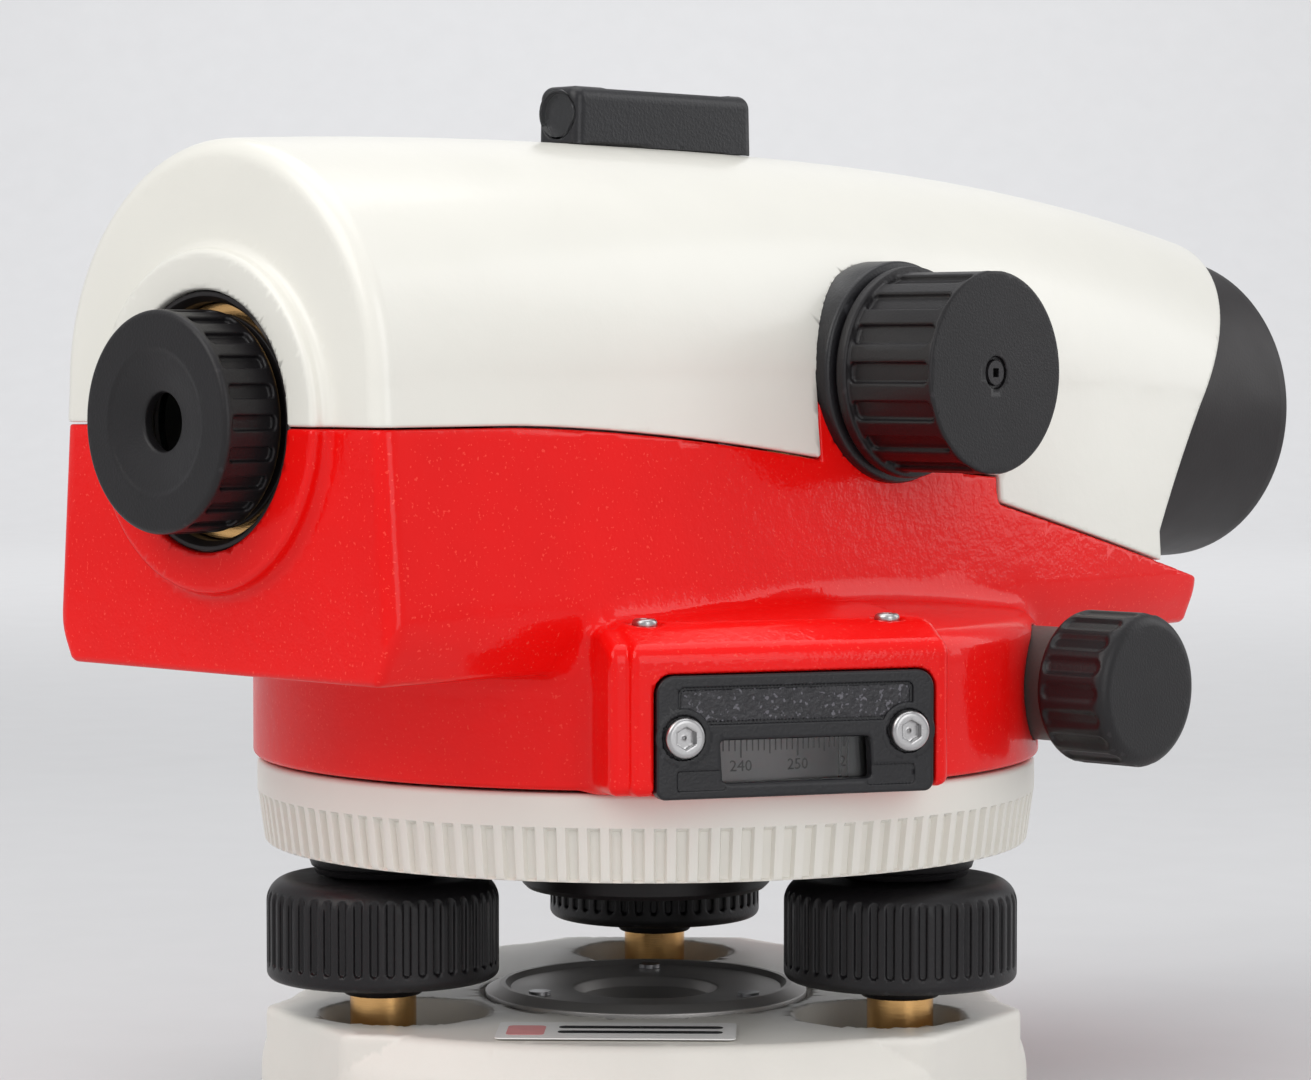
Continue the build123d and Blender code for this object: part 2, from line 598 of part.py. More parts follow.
def focusing_slide():
    # lens cell, and the rack that reaches back beside it to the pinion
    cell = tube_x(CELL_RADIUS, 11.5, 34, 48)
    arm = block(4, 27, -19.0, -14.6, RACK_Z - 3.4, RACK_Z - 0.2)
    link = block(24, 36, -17.5, -12.5, RACK_Z - 3.4, RACK_Z - 0.2)
    return cell + link + arm


def focusing_lens():
    return lens(38, 41, 11.5, -0.9, -0.9)


def focus_shaft():
    shaft = tube_y(FOCUS_SHAFT_RADIUS, 0, -FOCUS_SHAFT_END, -13.0, FOCUS_X, FOCUS_Z)
    return shaft + tube_y(PINION_RADIUS - 0.1, 0, -19.5, -13.5, FOCUS_X, FOCUS_Z)


def focus_bush():
    return tube_y(FOCUS_BUSH_RADIUS, FOCUS_SHAFT_RADIUS + RUNNING, -30.3, -22.0, FOCUS_X, FOCUS_Z)


def focus_knob():
    inner, face, grip = FOCUS_KNOB_INNER, FOCUS_KNOB_FACE, FOCUS_KNOB_RADIUS
    place = Pos(FOCUS_X, 0, FOCUS_Z) * Rot(90, 0, 0)
    knob = turned([(FOCUS_SHAFT_RADIUS, inner), (grip - 1, inner), (grip, inner + 1), (grip, face - 0.8),
                   (grip - 0.8, face), (PLUG_RADIUS, face), (PLUG_RADIUS, FOCUS_SHAFT_END),
                   (FOCUS_SHAFT_RADIUS, FOCUS_SHAFT_END)], place)
    cutters = flute_cutters(16, grip + 0.9, 1.6, 10.5, place * Pos(0, 0, (inner + face) / 2 - 0.6))
    return knob - cutters


def focus_knob_plug():
    plug_face = FOCUS_KNOB_FACE - 0.1
    plug = tube_y(PLUG_RADIUS, 0, -plug_face, -FOCUS_SHAFT_END, FOCUS_X, FOCUS_Z)
    return plug - Pos(FOCUS_X, -plug_face, FOCUS_Z) * Box(1.1, 1.6, 1.1)


# ---- compensator ----
COMP_X0 = -43.0
COMP_X1 = -11.0
PENDULUM_X = (COMP_X0 + COMP_X1) / 2
HANGER_Z = 108.0
PRISM_HALF = 7.0
PRISM_TOP_Z = 96.9


def compensator_frame():
    frame = block(COMP_X0, COMP_X1, -17, 17, 71.5, 74)
    for low, high in ((-17, -14.5), (14.5, 17)):
        frame += block(COMP_X0, COMP_X1, low, high, 74, 110)
    return frame + block(PENDULUM_X - 3, PENDULUM_X + 3, -17, 17, HANGER_Z, 110)


def fixed_prisms():
    prisms = []
    for x, reach in ((COMP_X0, 7.0), (COMP_X1, -7.0)):
        face = make_face(Polyline((x, 0, 82), (x + reach, 0, 82), (x, 0, 99), close=True))
        prisms.append(extrude(face, 14.4, dir=(0, 1, 0), both=True))
    return prisms


def pendulum_tapes():
    half = 0.15
    return [block(PENDULUM_X - half, PENDULUM_X + half, y - 1.5, y + 1.5, 99.6, HANGER_Z) for y in (-8, 8)]


def pendulum():
    body = block(PENDULUM_X - 5, PENDULUM_X + 5, -11, 11, PRISM_TOP_Z, 99.5)
    for side in (-1, 1):
        low, high = sorted((9.2 * side, 11 * side))
        body += block(PENDULUM_X - 2, PENDULUM_X + 2, low, high, 79.5, PRISM_TOP_Z + 0.1)
    return body + block(PENDULUM_X - 2, PENDULUM_X + 2, -11, 11, 79.5, 82)


def pendulum_prism():
    face = make_face(Polyline((PENDULUM_X - PRISM_HALF, 0, PRISM_TOP_Z), (PENDULUM_X, 0, PRISM_TOP_Z - 6.5),
                              (PENDULUM_X + PRISM_HALF, 0, PRISM_TOP_Z), close=True))
    return extrude(face, 9, dir=(0, 1, 0), both=True)


def damper_magnets():
    return [block(PENDULUM_X - 4, PENDULUM_X + 4, y - 2.5, y + 2.5, 74.0, 79.0) for y in (-8, 8)]


# ---- reticle and eyepiece ----
def reticle_mount():
    return tube_x(14.0, 8.0, -56, -50)


def reticle():
    return tube_x(8.0, 0, -54.0, -52.5)


def eyepiece_tube():
    # brass guide tube screwed into the rear wall
    tube = tube_x(EYEPIECE_BORE - 0.1, 9.3, -71.0, -66.0) + tube_x(12.0, 9.3, -66.1, -56.4)
    return tube + tube_x(GUIDE_RADIUS, 9.3, -75.8, -70.9)


def eyepiece_cell():
    # lens cell that slides in the guide tube without turning
    return tube_x(9.3 - RUNNING, 7.0, -74.5, -62.0)


def eyepiece_lenses():
    return [lens(-74.0, -72.0, 7.0, 0.0, 0.8), lens(-67.5, -64.5, 7.0, 0.8, 0.8)]


def eyepiece_knob():
    rear = -EYEPIECE_X
    bore = GUIDE_RADIUS + RUNNING
    place = Pos(0, 0, SIGHT_Z) * Rot(0, -90, 0)
    grip = EYEPIECE_KNOB_RADIUS
    outline = [(bore, 71.8), (grip - 0.5, 71.8), (grip, 72.4), (grip, rear - 1), (grip - 1, rear),
               (8.2, rear), (3.4, rear - 1.2), (3.4, rear - 2.4), (bore, rear - 2.4)]
    knob = turned(outline, place)
    cutters = flute_cutters(22, grip + 0.5, 1.0, 5.0, place * Pos(0, 0, 76.3))
    return knob - cutters


# ---- on the outside ----
def optical_sight():
    side = make_face(Polyline((-16.3, 0, 123.6), (-16.3, 0, 130.4), (-15.0, 0, 131.6), (15.0, 0, 131.6),
                              (16.2, 0, 130.2), (16.2, 0, 123.6), close=True))
    body = extrude(side, 3.6, dir=(0, 1, 0), both=True)
    body = fillet([e for e in body.edges().filter_by(Axis.X) if e.center().Z > 131], 2.2)
    body -= OUTER_BODY
    return body - tube_x(3.0, 0, -17, -13.5, 128.2)


def sight_lens():
    return tube_x(3.0, 0, -16.1, -13.5, 128.2)


LEVEL_X = 10.0
LEVEL_Y = 42.6
LEVEL_TOP_Z = 76.5
VIAL_RADIUS = 8.6


def level_screw_places():
    places = []
    for angle in (30, 150, 270):
        turn = math.radians(angle)
        places.append(Pos(LEVEL_X + 9.9 * math.cos(turn), LEVEL_Y + 9.9 * math.sin(turn), LEVEL_TOP_Z))
    return places


def level_housing():
    body = block(LEVEL_X - 12, LEVEL_X + 12, 28.4, LEVEL_Y + 5, 66.0, 69.5)
    body += tube_z(11.0, 0, 66.0, LEVEL_TOP_Z, LEVEL_X, LEVEL_Y)
    body -= tube_z(VIAL_RADIUS, 0, 70.5, 80, LEVEL_X, LEVEL_Y)
    for place in level_screw_places():
        body -= shank_hole(1.4, 3, place)
    return body - OUTER_BODY - drum_solid()


def circular_level():
    return tube_z(VIAL_RADIUS, 0, 70.5, 76.0, LEVEL_X, LEVEL_Y)


def level_mirror_arm():
    # bracket on the housing side that carries the mirror over the bubble
    arm = block(LEVEL_X - 9, LEVEL_X - 7.4, 28.0, LEVEL_Y + 4.5, 84.0, 88.0)
    arm += block(LEVEL_X + 7.4, LEVEL_X + 9, 28.0, LEVEL_Y + 4.5, 84.0, 88.0)
    return arm + block(LEVEL_X - 9, LEVEL_X + 9, 28.0, 31.6, 80.5, 92.0) - OUTER_BODY


def level_mirror():
    plate = Rot(-45, 0, 0) * Box(14.0, 17.0, 1.6)
    return Pos(LEVEL_X, LEVEL_Y - 1.0, 88.5) * plate


def level_adjusting_screws():
    return [pan_screw(1.4, 0.8, 3, place) for place in level_screw_places()]


# ---- write every node ----
PARTS = {
    "base_plate": base_plate,
    "thread_insert": thread_insert,
    "insert_screws": insert_screws,
    "foot_seats": foot_seats,
    "foot_retainers": foot_retainers,
    "dust_caps": dust_caps,
    "footscrew_bushes": footscrew_bushes,
    "levelling_head": levelling_head,
    "spindle": spindle,
    "spindle_nut": spindle_nut,
    "circle_ring": circle_ring,
    "graduated_circle": graduated_circle,
    "worm_wheel": worm_wheel,
    "drive_shaft": drive_shaft,
    "drive_bushes": drive_bushes,
    "lower_housing": lower_housing,
    "upper_cover": upper_cover,
    "cover_screws": cover_screws,
    "bearing_sleeve": bearing_sleeve,
    "window_plate": window_plate,
    "window_glass": window_glass,
    "window_screws": window_screws,
    "ledge_screws": ledge_screws,
    "objective_barrel": objective_barrel,
    "telescope_tube": telescope_tube,
    "focusing_slide": focusing_slide,
    "focusing_lens": focusing_lens,
    "focus_shaft": focus_shaft,
    "focus_bush": focus_bush,
    "focus_knob": focus_knob,
    "focus_knob_plug": focus_knob_plug,
    "compensator_frame": compensator_frame,
    "fixed_prisms": fixed_prisms,
    "pendulum_tapes": pendulum_tapes,
    "pendulum": pendulum,
    "pendulum_prism": pendulum_prism,
    "damper_magnets": damper_magnets,
    "reticle_mount": reticle_mount,
    "reticle": reticle,
    "eyepiece_tube": eyepiece_tube,
    "eyepiece_cell": eyepiece_cell,
    "eyepiece_lenses": eyepiece_lenses,
    "eyepiece_knob": eyepiece_knob,
    "optical_sight": optical_sight,
    "sight_lens": sight_lens,
    "level_housing": level_housing,
    "circular_level": circular_level,
    "level_mirror_arm": level_mirror_arm,
    "level_mirror": level_mirror,
    "level_adjusting_screws": level_adjusting_screws,
}

for name, make in PARTS.items():
    save(name, make())
for number in FEET:
    save(f"foot_{number}", foot(number))
    save(f"footscrew_knob_{number}", footscrew_knob(number))
save("foot_ball_3", foot_ball(3))
save("foot_balls_fixed", [foot_ball(1), foot_ball(2)])
save("drive_knobs", [drive_knob(-1), drive_knob(1)])
save("objective_lenses", [lens(99.5, 103.5, 19.4, 1.0, 1.6), lens(94.0, 97.0, 19.4, 0.0, -1.0)])
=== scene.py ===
import json
import math

import bpy
import numpy as np
import openvdb
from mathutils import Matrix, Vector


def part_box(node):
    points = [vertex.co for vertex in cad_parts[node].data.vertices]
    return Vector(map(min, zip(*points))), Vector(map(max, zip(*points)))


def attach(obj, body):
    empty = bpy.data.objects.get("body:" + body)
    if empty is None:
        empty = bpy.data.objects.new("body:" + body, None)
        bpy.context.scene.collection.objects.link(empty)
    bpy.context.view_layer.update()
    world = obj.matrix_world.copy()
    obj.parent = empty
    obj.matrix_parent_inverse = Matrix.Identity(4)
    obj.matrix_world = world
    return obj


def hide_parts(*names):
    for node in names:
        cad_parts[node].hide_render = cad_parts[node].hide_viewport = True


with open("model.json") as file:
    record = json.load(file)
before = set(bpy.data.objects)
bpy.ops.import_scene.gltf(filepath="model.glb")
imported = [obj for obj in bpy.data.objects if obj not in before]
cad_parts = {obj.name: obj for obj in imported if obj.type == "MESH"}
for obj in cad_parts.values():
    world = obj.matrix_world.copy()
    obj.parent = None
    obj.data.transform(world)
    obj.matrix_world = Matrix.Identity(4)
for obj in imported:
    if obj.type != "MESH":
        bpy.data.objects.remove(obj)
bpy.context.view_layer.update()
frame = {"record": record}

# Lengths in the fields below are millimetres in the row frame; objects are made in metres.
MM = 0.001


# ---------------------------------------------------------------- solid modelling with distance fields
def meet(a, b, r=0.0):
    """Where both fields are inside, with the edge rounded to radius r."""
    if r <= 0:
        return np.maximum(a, b)
    return np.minimum(np.maximum(a, b), -r) + np.hypot(np.maximum(a + r, 0), np.maximum(b + r, 0))


def join(a, b, r=0.0):
    """Both solids together, with a fillet of radius r between them."""
    return -meet(-a, -b, r)


def cut(a, b, r=0.0):
    """Solid a without solid b, with the edge rounded to radius r."""
    return meet(a, -b, r)


def slab(value, low, high):
    return np.abs(value - (low + high) / 2) - (high - low) / 2


def disc(u, v, w, radius, low, high, r=0.0):
    """Round disc or bar: u, v across, w along from low to high, ends rounded to r."""
    return meet(np.hypot(u, v) - radius, slab(w, low, high), r)


def cuboid(x, y, z, low, high, r=0.0):
    """Box with all its edges rounded to r."""
    dx, dy, dz = (slab(v, a + r, b - r) for v, a, b in zip((x, y, z), low, high))
    outside = np.sqrt(np.maximum(dx, 0) ** 2 + np.maximum(dy, 0) ** 2 + np.maximum(dz, 0) ** 2)
    return outside + np.minimum(np.maximum(dx, np.maximum(dy, dz)), 0) - r


def turned(x, y, angle):
    """Coordinates seen from a frame turned by angle degrees about Z."""
    c, s = math.cos(math.radians(angle)), math.sin(math.radians(angle))
    return x * c + y * s, y * c - x * s


def wedge_angle(u, v, count):
    """Angle from the middle of the nearest of count equal sectors, in radians."""
    step = 2 * math.pi / count
    return (np.arctan2(v, u) + step / 2) % step - step / 2


# Cells along the edge of a block: only the blocks that the surface may cross are worked out in full.
BLOCK = 8
BLOCKS_AT_ONCE = 2000
CORNER_STEPS = 5          # straight pieces in a rounded corner of an outline


def field_object(name, field, low, high, cell, adapt=0.0):
    """Mesh of the surface where field(x, y, z) is zero, inside the box low..high (mm)."""
    low = np.array(low, float) - 1.5 * cell
    blocks = np.ceil((np.array(high, float) + 1.5 * cell - low) / (cell * BLOCK)).astype(int)
    size = BLOCK * cell
    centres = [low[i] + (np.arange(blocks[i]) + 0.5) * size - cell / 2 for i in range(3)]
    grid = np.meshgrid(*centres, indexing="ij")
    rough = field(*(g.astype(np.float32) for g in grid))
    values = np.sign(rough) * size
    for axis in range(3):
        values = np.repeat(values, BLOCK, axis)
    values = values.astype(np.float32)
    near = np.argwhere(np.abs(rough) < size * 1.25)
    steps = np.stack(np.meshgrid(*[np.arange(BLOCK)] * 3, indexing="ij"), -1)
    for start in range(0, len(near), BLOCKS_AT_ONCE):
        chosen = near[start:start + BLOCKS_AT_ONCE]
        index = np.moveaxis(chosen[:, None, None, None, :] * BLOCK + steps, -1, 0)
        place = (low[:, None, None, None, None] + index * cell).astype(np.float32)
        values[tuple(index)] = field(*place)
    volume = openvdb.FloatGrid(background=size)
    volume.copyFromArray(values)
    points, triangles, quads = volume.convertToPolygons(isovalue=0.0, adaptivity=adapt)
    points = low + np.asarray(points, float) * cell

    def slope(p):
        step = cell * 0.25
        parts = []
        for axis in range(3):
            shift = np.zeros(3)
            shift[axis] = step
            ahead, behind = (p + shift).T, (p - shift).T
            parts.append((field(*ahead) - field(*behind)) / (2 * step))
        return np.stack(parts, 1)

    gradient = slope(points)
    length2 = np.maximum((gradient ** 2).sum(1), 0.05)
    move = np.clip(field(*points.T), -cell * 0.6, cell * 0.6)
    points = points - gradient * (move / length2)[:, None]
    gradient = slope(points)
    normals = gradient / np.maximum(np.linalg.norm(gradient, axis=1), 1e-6)[:, None]

    mesh = bpy.data.meshes.new(name)
    faces = np.asarray(quads).tolist() + np.asarray(triangles).tolist()
    mesh.from_pydata((points * MM).tolist(), [], faces)
    mesh.validate()
    mesh.polygons.foreach_set("use_smooth", [True] * len(mesh.polygons))
    if len(mesh.vertices) == len(normals):
        mesh.normals_split_custom_set_from_vertices(normals.tolist())
    made = bpy.data.objects.new(name, mesh)
    bpy.context.scene.collection.objects.link(made)
    return made


def rounded(points):
    """Corner points, some with a third number, a radius: those corners become arcs."""
    made = []
    for i, point in enumerate(points):
        if len(point) < 3:
            made.append(point)
            continue
        here = np.array(point[:2])
        back = np.array(points[i - 1][:2]) - here
        ahead = np.array(points[(i + 1) % len(points)][:2]) - here
        back, ahead = back / np.linalg.norm(back), ahead / np.linalg.norm(ahead)
        half = math.acos(np.clip(back @ ahead, -1, 1)) / 2
        reach = point[2] / math.tan(half)
        middle = (back + ahead) / np.linalg.norm(back + ahead)
        centre = here + middle * point[2] / math.sin(half)
        start, end = here + back * reach - centre, here + ahead * reach - centre
        total = math.atan2(start[0] * end[1] - start[1] * end[0], start @ end)
        for step in range(CORNER_STEPS + 1):
            turn = total * step / CORNER_STEPS
            c, s = math.cos(turn), math.sin(turn)
            made.append((centre[0] + start[0] * c - start[1] * s, centre[1] + start[0] * s + start[1] * c))
    return made


# Unit vectors (across, across, along) of a turned piece whose axis is X, Y or Z.
AXES = {"x": ((0, 1, 0), (0, 0, 1), (1, 0, 0)), "y": ((0, 0, 1), (1, 0, 0), (0, 1, 0)),
        "z": ((1, 0, 0), (0, 1, 0), (0, 0, 1))}


def mesh_object(name, points, faces, sharp=32):
    """Object in metres from points in millimetres, smooth but for edges sharper than the angle."""
    mesh = bpy.data.meshes.new(name)
    mesh.from_pydata((np.asarray(points, float) * MM).tolist(), [], faces)
    mesh.validate()
    mesh.polygons.foreach_set("use_smooth", [True] * len(mesh.polygons))
    mesh.set_sharp_from_angle(angle=math.radians(sharp))
    made = bpy.data.objects.new(name, mesh)
    bpy.context.scene.collection.objects.link(made)
    return made


def lathe(name, profile, axis="z", centre=(0, 0, 0), steps=96, relief=None, sharp=32):
    """Turned piece from a closed (radius, along[, fillet]) outline; relief(angle, row) adds to a radius."""
    rows = rounded(profile)
    across, other, along = (np.array(v, float) for v in AXES[axis])
    angles = np.arange(steps) * 2 * math.pi / steps
    points, faces, index = [], [], []
    for k, (radius, height) in enumerate(rows):
        if radius < 1e-6:
            index.append(np.full(steps, len(points)))
            points.append(np.array(centre) + along * height)
            continue
        index.append(len(points) + np.arange(steps))
        radii = radius + (relief(angles, height) if relief else 0 * angles)
        ring = radii[:, None] * (np.cos(angles)[:, None] * across + np.sin(angles)[:, None] * other)
        points.extend(np.array(centre) + along * height + ring)
    for a, b in zip(index, index[1:] + index[:1]):
        if len(set(a)) == 1 and len(set(b)) == 1:
            continue
        for k in range(steps):
            n = (k + 1) % steps
            corner = list(dict.fromkeys((int(a[k]), int(a[n]), int(b[n]), int(b[k]))))
            if len(corner) > 2:
                faces.append(corner)
    # the outline may run either way round; the faces have to look outwards
    area = sum(r0 * h1 - r1 * h0 for (r0, h0), (r1, h1) in zip(rows, rows[1:] + rows[:1]))
    if area < 0:
        faces = [f[::-1] for f in faces]
    return mesh_object(name, points, faces, sharp)


def joined(name, parts):
    """One piece made of several; the parts are used up."""
    meshes = [p.data for p in parts]
    points, faces = [], []
    for part in parts:
        start = len(points)
        points.extend(tuple(part.matrix_world @ v.co) for v in part.data.vertices)
        faces.extend([start + i for i in f.vertices] for f in part.data.polygons)
        bpy.data.objects.remove(part)
    for mesh in meshes:
        bpy.data.meshes.remove(mesh)
    return mesh_object(name, np.array(points) / MM, faces)


def mm_box(node):
    """Lowest and highest corners of a CAD node in millimetres."""
    low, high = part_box(node)
    return np.array(low) / MM, np.array(high) / MM


# ---------------------------------------------------------------- where things are, from the frame
RING_LOW, RING_HIGH = mm_box("circle_ring")
KNOBS = [np.mean(mm_box(f"footscrew_knob_{n}"), axis=0)[:2] for n in (1, 2, 3)]
KNOB_Z0 = mm_box("footscrew_knob_1")[0][2] + 1.5
BARREL_LOW, BARREL_HIGH = mm_box("objective_barrel")
SIGHT_Z = (BARREL_LOW[2] + BARREL_HIGH[2]) / 2
FOCUS_LOW, FOCUS_HIGH = mm_box("focus_knob")
FOCUS_X = (FOCUS_LOW[0] + FOCUS_HIGH[0]) / 2
FOCUS_Z = (FOCUS_LOW[2] + FOCUS_HIGH[2]) / 2
DRIVE_LOW, DRIVE_HIGH = mm_box("drive_knobs")
DRIVE_X = (DRIVE_LOW[0] + DRIVE_HIGH[0]) / 2
DRIVE_Z = (DRIVE_LOW[2] + DRIVE_HIGH[2]) / 2
REAR_X = mm_box("upper_cover")[0][0] + 2.0      # rear wall, under its raised eyepiece boss
BOTTOM_Z = 60.5                                 # underside of the body
BODY_HALF = 28.9                                # half width where the arched top begins
BODY_FLARE = 2.1                                # how much wider the sides get on their way down
CROWN_X, CROWN_Z = -22, 124.4                   # highest point of the arched top
SEAM_REAR_Z, SEAM_STEP_X, SEAM_FRONT_Z = 89.65, 35.2, 78.7
PAD_HALF = 13.7                                 # the housing's pad under the focusing knob
FRONT_X, FRONT_Z = 71.0, 73.9                   # foot of the cover's leaning front edge
EYEPIECE_HOLE, OBJECTIVE_HOLE, FOCUS_HOLE = 15.2, 22.35, 13.5
DRUM_Z0 = mm_box("lower_housing")[0][2]
DRUM_RADIUS = RING_HIGH[0] + 0.5
WINDOW_ANGLE = -116.5                           # direction in which the circle window looks
WINDOW_U = 54.0                                 # face of its block, from the vertical axis
SEAT_U, SEAT_HALF, SEAT_TOP = 52.05, 17.55, 61.15   # recess in the block for the window plate
PLATE_HALF, PLATE_TOP, PLATE_BOTTOM = 17.3, 61.0, 46.6
PLATE_SCREW_V, PLATE_SCREW_Z = 14, 53.8
LEDGE_SCREW_U, LEDGE_SCREW_V = 47.0, (-16.3, 14.2)
BASE_TOP = mm_box("base_plate")[1][2]
SCREW_CIRCLE = 37.3
FOOT_ANGLES = (162.7, -77.3, 42.7)
LEVEL_X, LEVEL_Y = 10.0, 42.6                   # middle of the circular level
WALL = 2.5
CAMERA_PLACE = (-0.3640, -0.3582, 0.0978)       # metres
CAMERA_HEADING, CAMERA_PITCH, CAMERA_LENS = 44.40, -2.664, 108.82


# ---------------------------------------------------------------- camera, light and floor
def directions(angle):
    """Unit vectors in plan: along a heading (degrees from +X) and a quarter turn to its left."""
    c, s = math.cos(math.radians(angle)), math.sin(math.radians(angle))
    return np.array((c, s)), np.array((-s, c))


def look_along(heading, pitch):
    """Rotation of a camera that looks along a heading (degrees from +X) and pitch."""
    return (math.radians(90 + pitch), 0, math.radians(heading - 90))


def make_camera():
    camera = bpy.data.objects.new("camera", bpy.data.cameras.new("camera"))
    bpy.context.scene.collection.objects.link(camera)
    camera.location = CAMERA_PLACE
    camera.rotation_euler = look_along(CAMERA_HEADING, CAMERA_PITCH)
    camera.data.lens = CAMERA_LENS
    camera.data.sensor_width = 36
    camera.data.clip_start = 0.01
    bpy.context.scene.camera = camera


def soft_light(name, place, target, size, power, colour=(1, 1, 1)):
    light = bpy.data.objects.new(name, bpy.data.lights.new(name, "AREA"))
    bpy.context.scene.collection.objects.link(light)
    light.data.shape = "RECTANGLE"
    light.data.size, light.data.size_y = size
    light.data.energy = power
    light.data.color = colour
    light.location = place
    aim = np.array(target, float) - np.array(place, float)
    heading = math.atan2(aim[1], aim[0])
    pitch = math.atan2(aim[2], math.hypot(aim[0], aim[1]))
    light.rotation_euler = (math.pi / 2 + pitch, 0, heading - math.pi / 2)


def make_stage():
    """Floor that sweeps up into a backdrop behind the object (metres)."""
    points, faces = [], []
    near, bend, radius, height = -2.5, 1.6, 0.8, 3.0
    sweep = [(near, 0.0), (bend, 0.0)]
    for t in np.linspace(0.1, math.pi / 2, 14):
        sweep.append((bend + radius * math.sin(t), radius - radius * math.cos(t)))
    sweep.append((bend + radius, height))
    ahead, side = directions(CAMERA_HEADING)
    for along, height in sweep:
        for across in (-3.0, 3.0):
            points.append((*(ahead * along + side * across), height))
    for k in range(len(sweep) - 1):
        faces.append((2 * k, 2 * k + 1, 2 * k + 3, 2 * k + 2))
    mesh = bpy.data.meshes.new("floor")
    mesh.from_pydata(points, [], faces)
    mesh.polygons.foreach_set("use_smooth", [True] * len(mesh.polygons))
    floor = bpy.data.objects.new("floor", mesh)
    bpy.context.scene.collection.objects.link(floor)
    paper = surface("floor_paper", (0.60, 0.60, 0.605), rough=0.9, mottle=0.01, grain=0.0)
    floor.data.materials.append(paper)


def make_lights():
    bpy.context.scene.view_settings.view_transform = "Standard"
    world = bpy.data.worlds.new("world")
    bpy.context.scene.world = world
    world.use_nodes = True
    background = world.node_tree.nodes["Background"]
    background.inputs["Color"].default_value = (0.96, 0.97, 1.0, 1)
    background.inputs["Strength"].default_value = 0.62
    soft_light("key", (-0.80, 0.05, 0.75), (0, 0, 0.08), (0.7, 0.7), 4.2, (1.0, 0.985, 0.96))
    soft_light("front", (-0.30, -1.0, 0.40), (0, 0, 0.07), (0.5, 0.8), 2.4)
    soft_light("top", (0.1, 0.1, 1.1), (0, 0, 0.08), (1.0, 1.0), 4.5)
    soft_light("right", (0.9, -0.5, 0.5), (0, 0, 0.08), (0.5, 0.8), 2.0)
    soft_light("backdrop", (0.9, 0.9, 1.3), (1.9, 1.9, 0.4), (1.5, 1.5), 16)


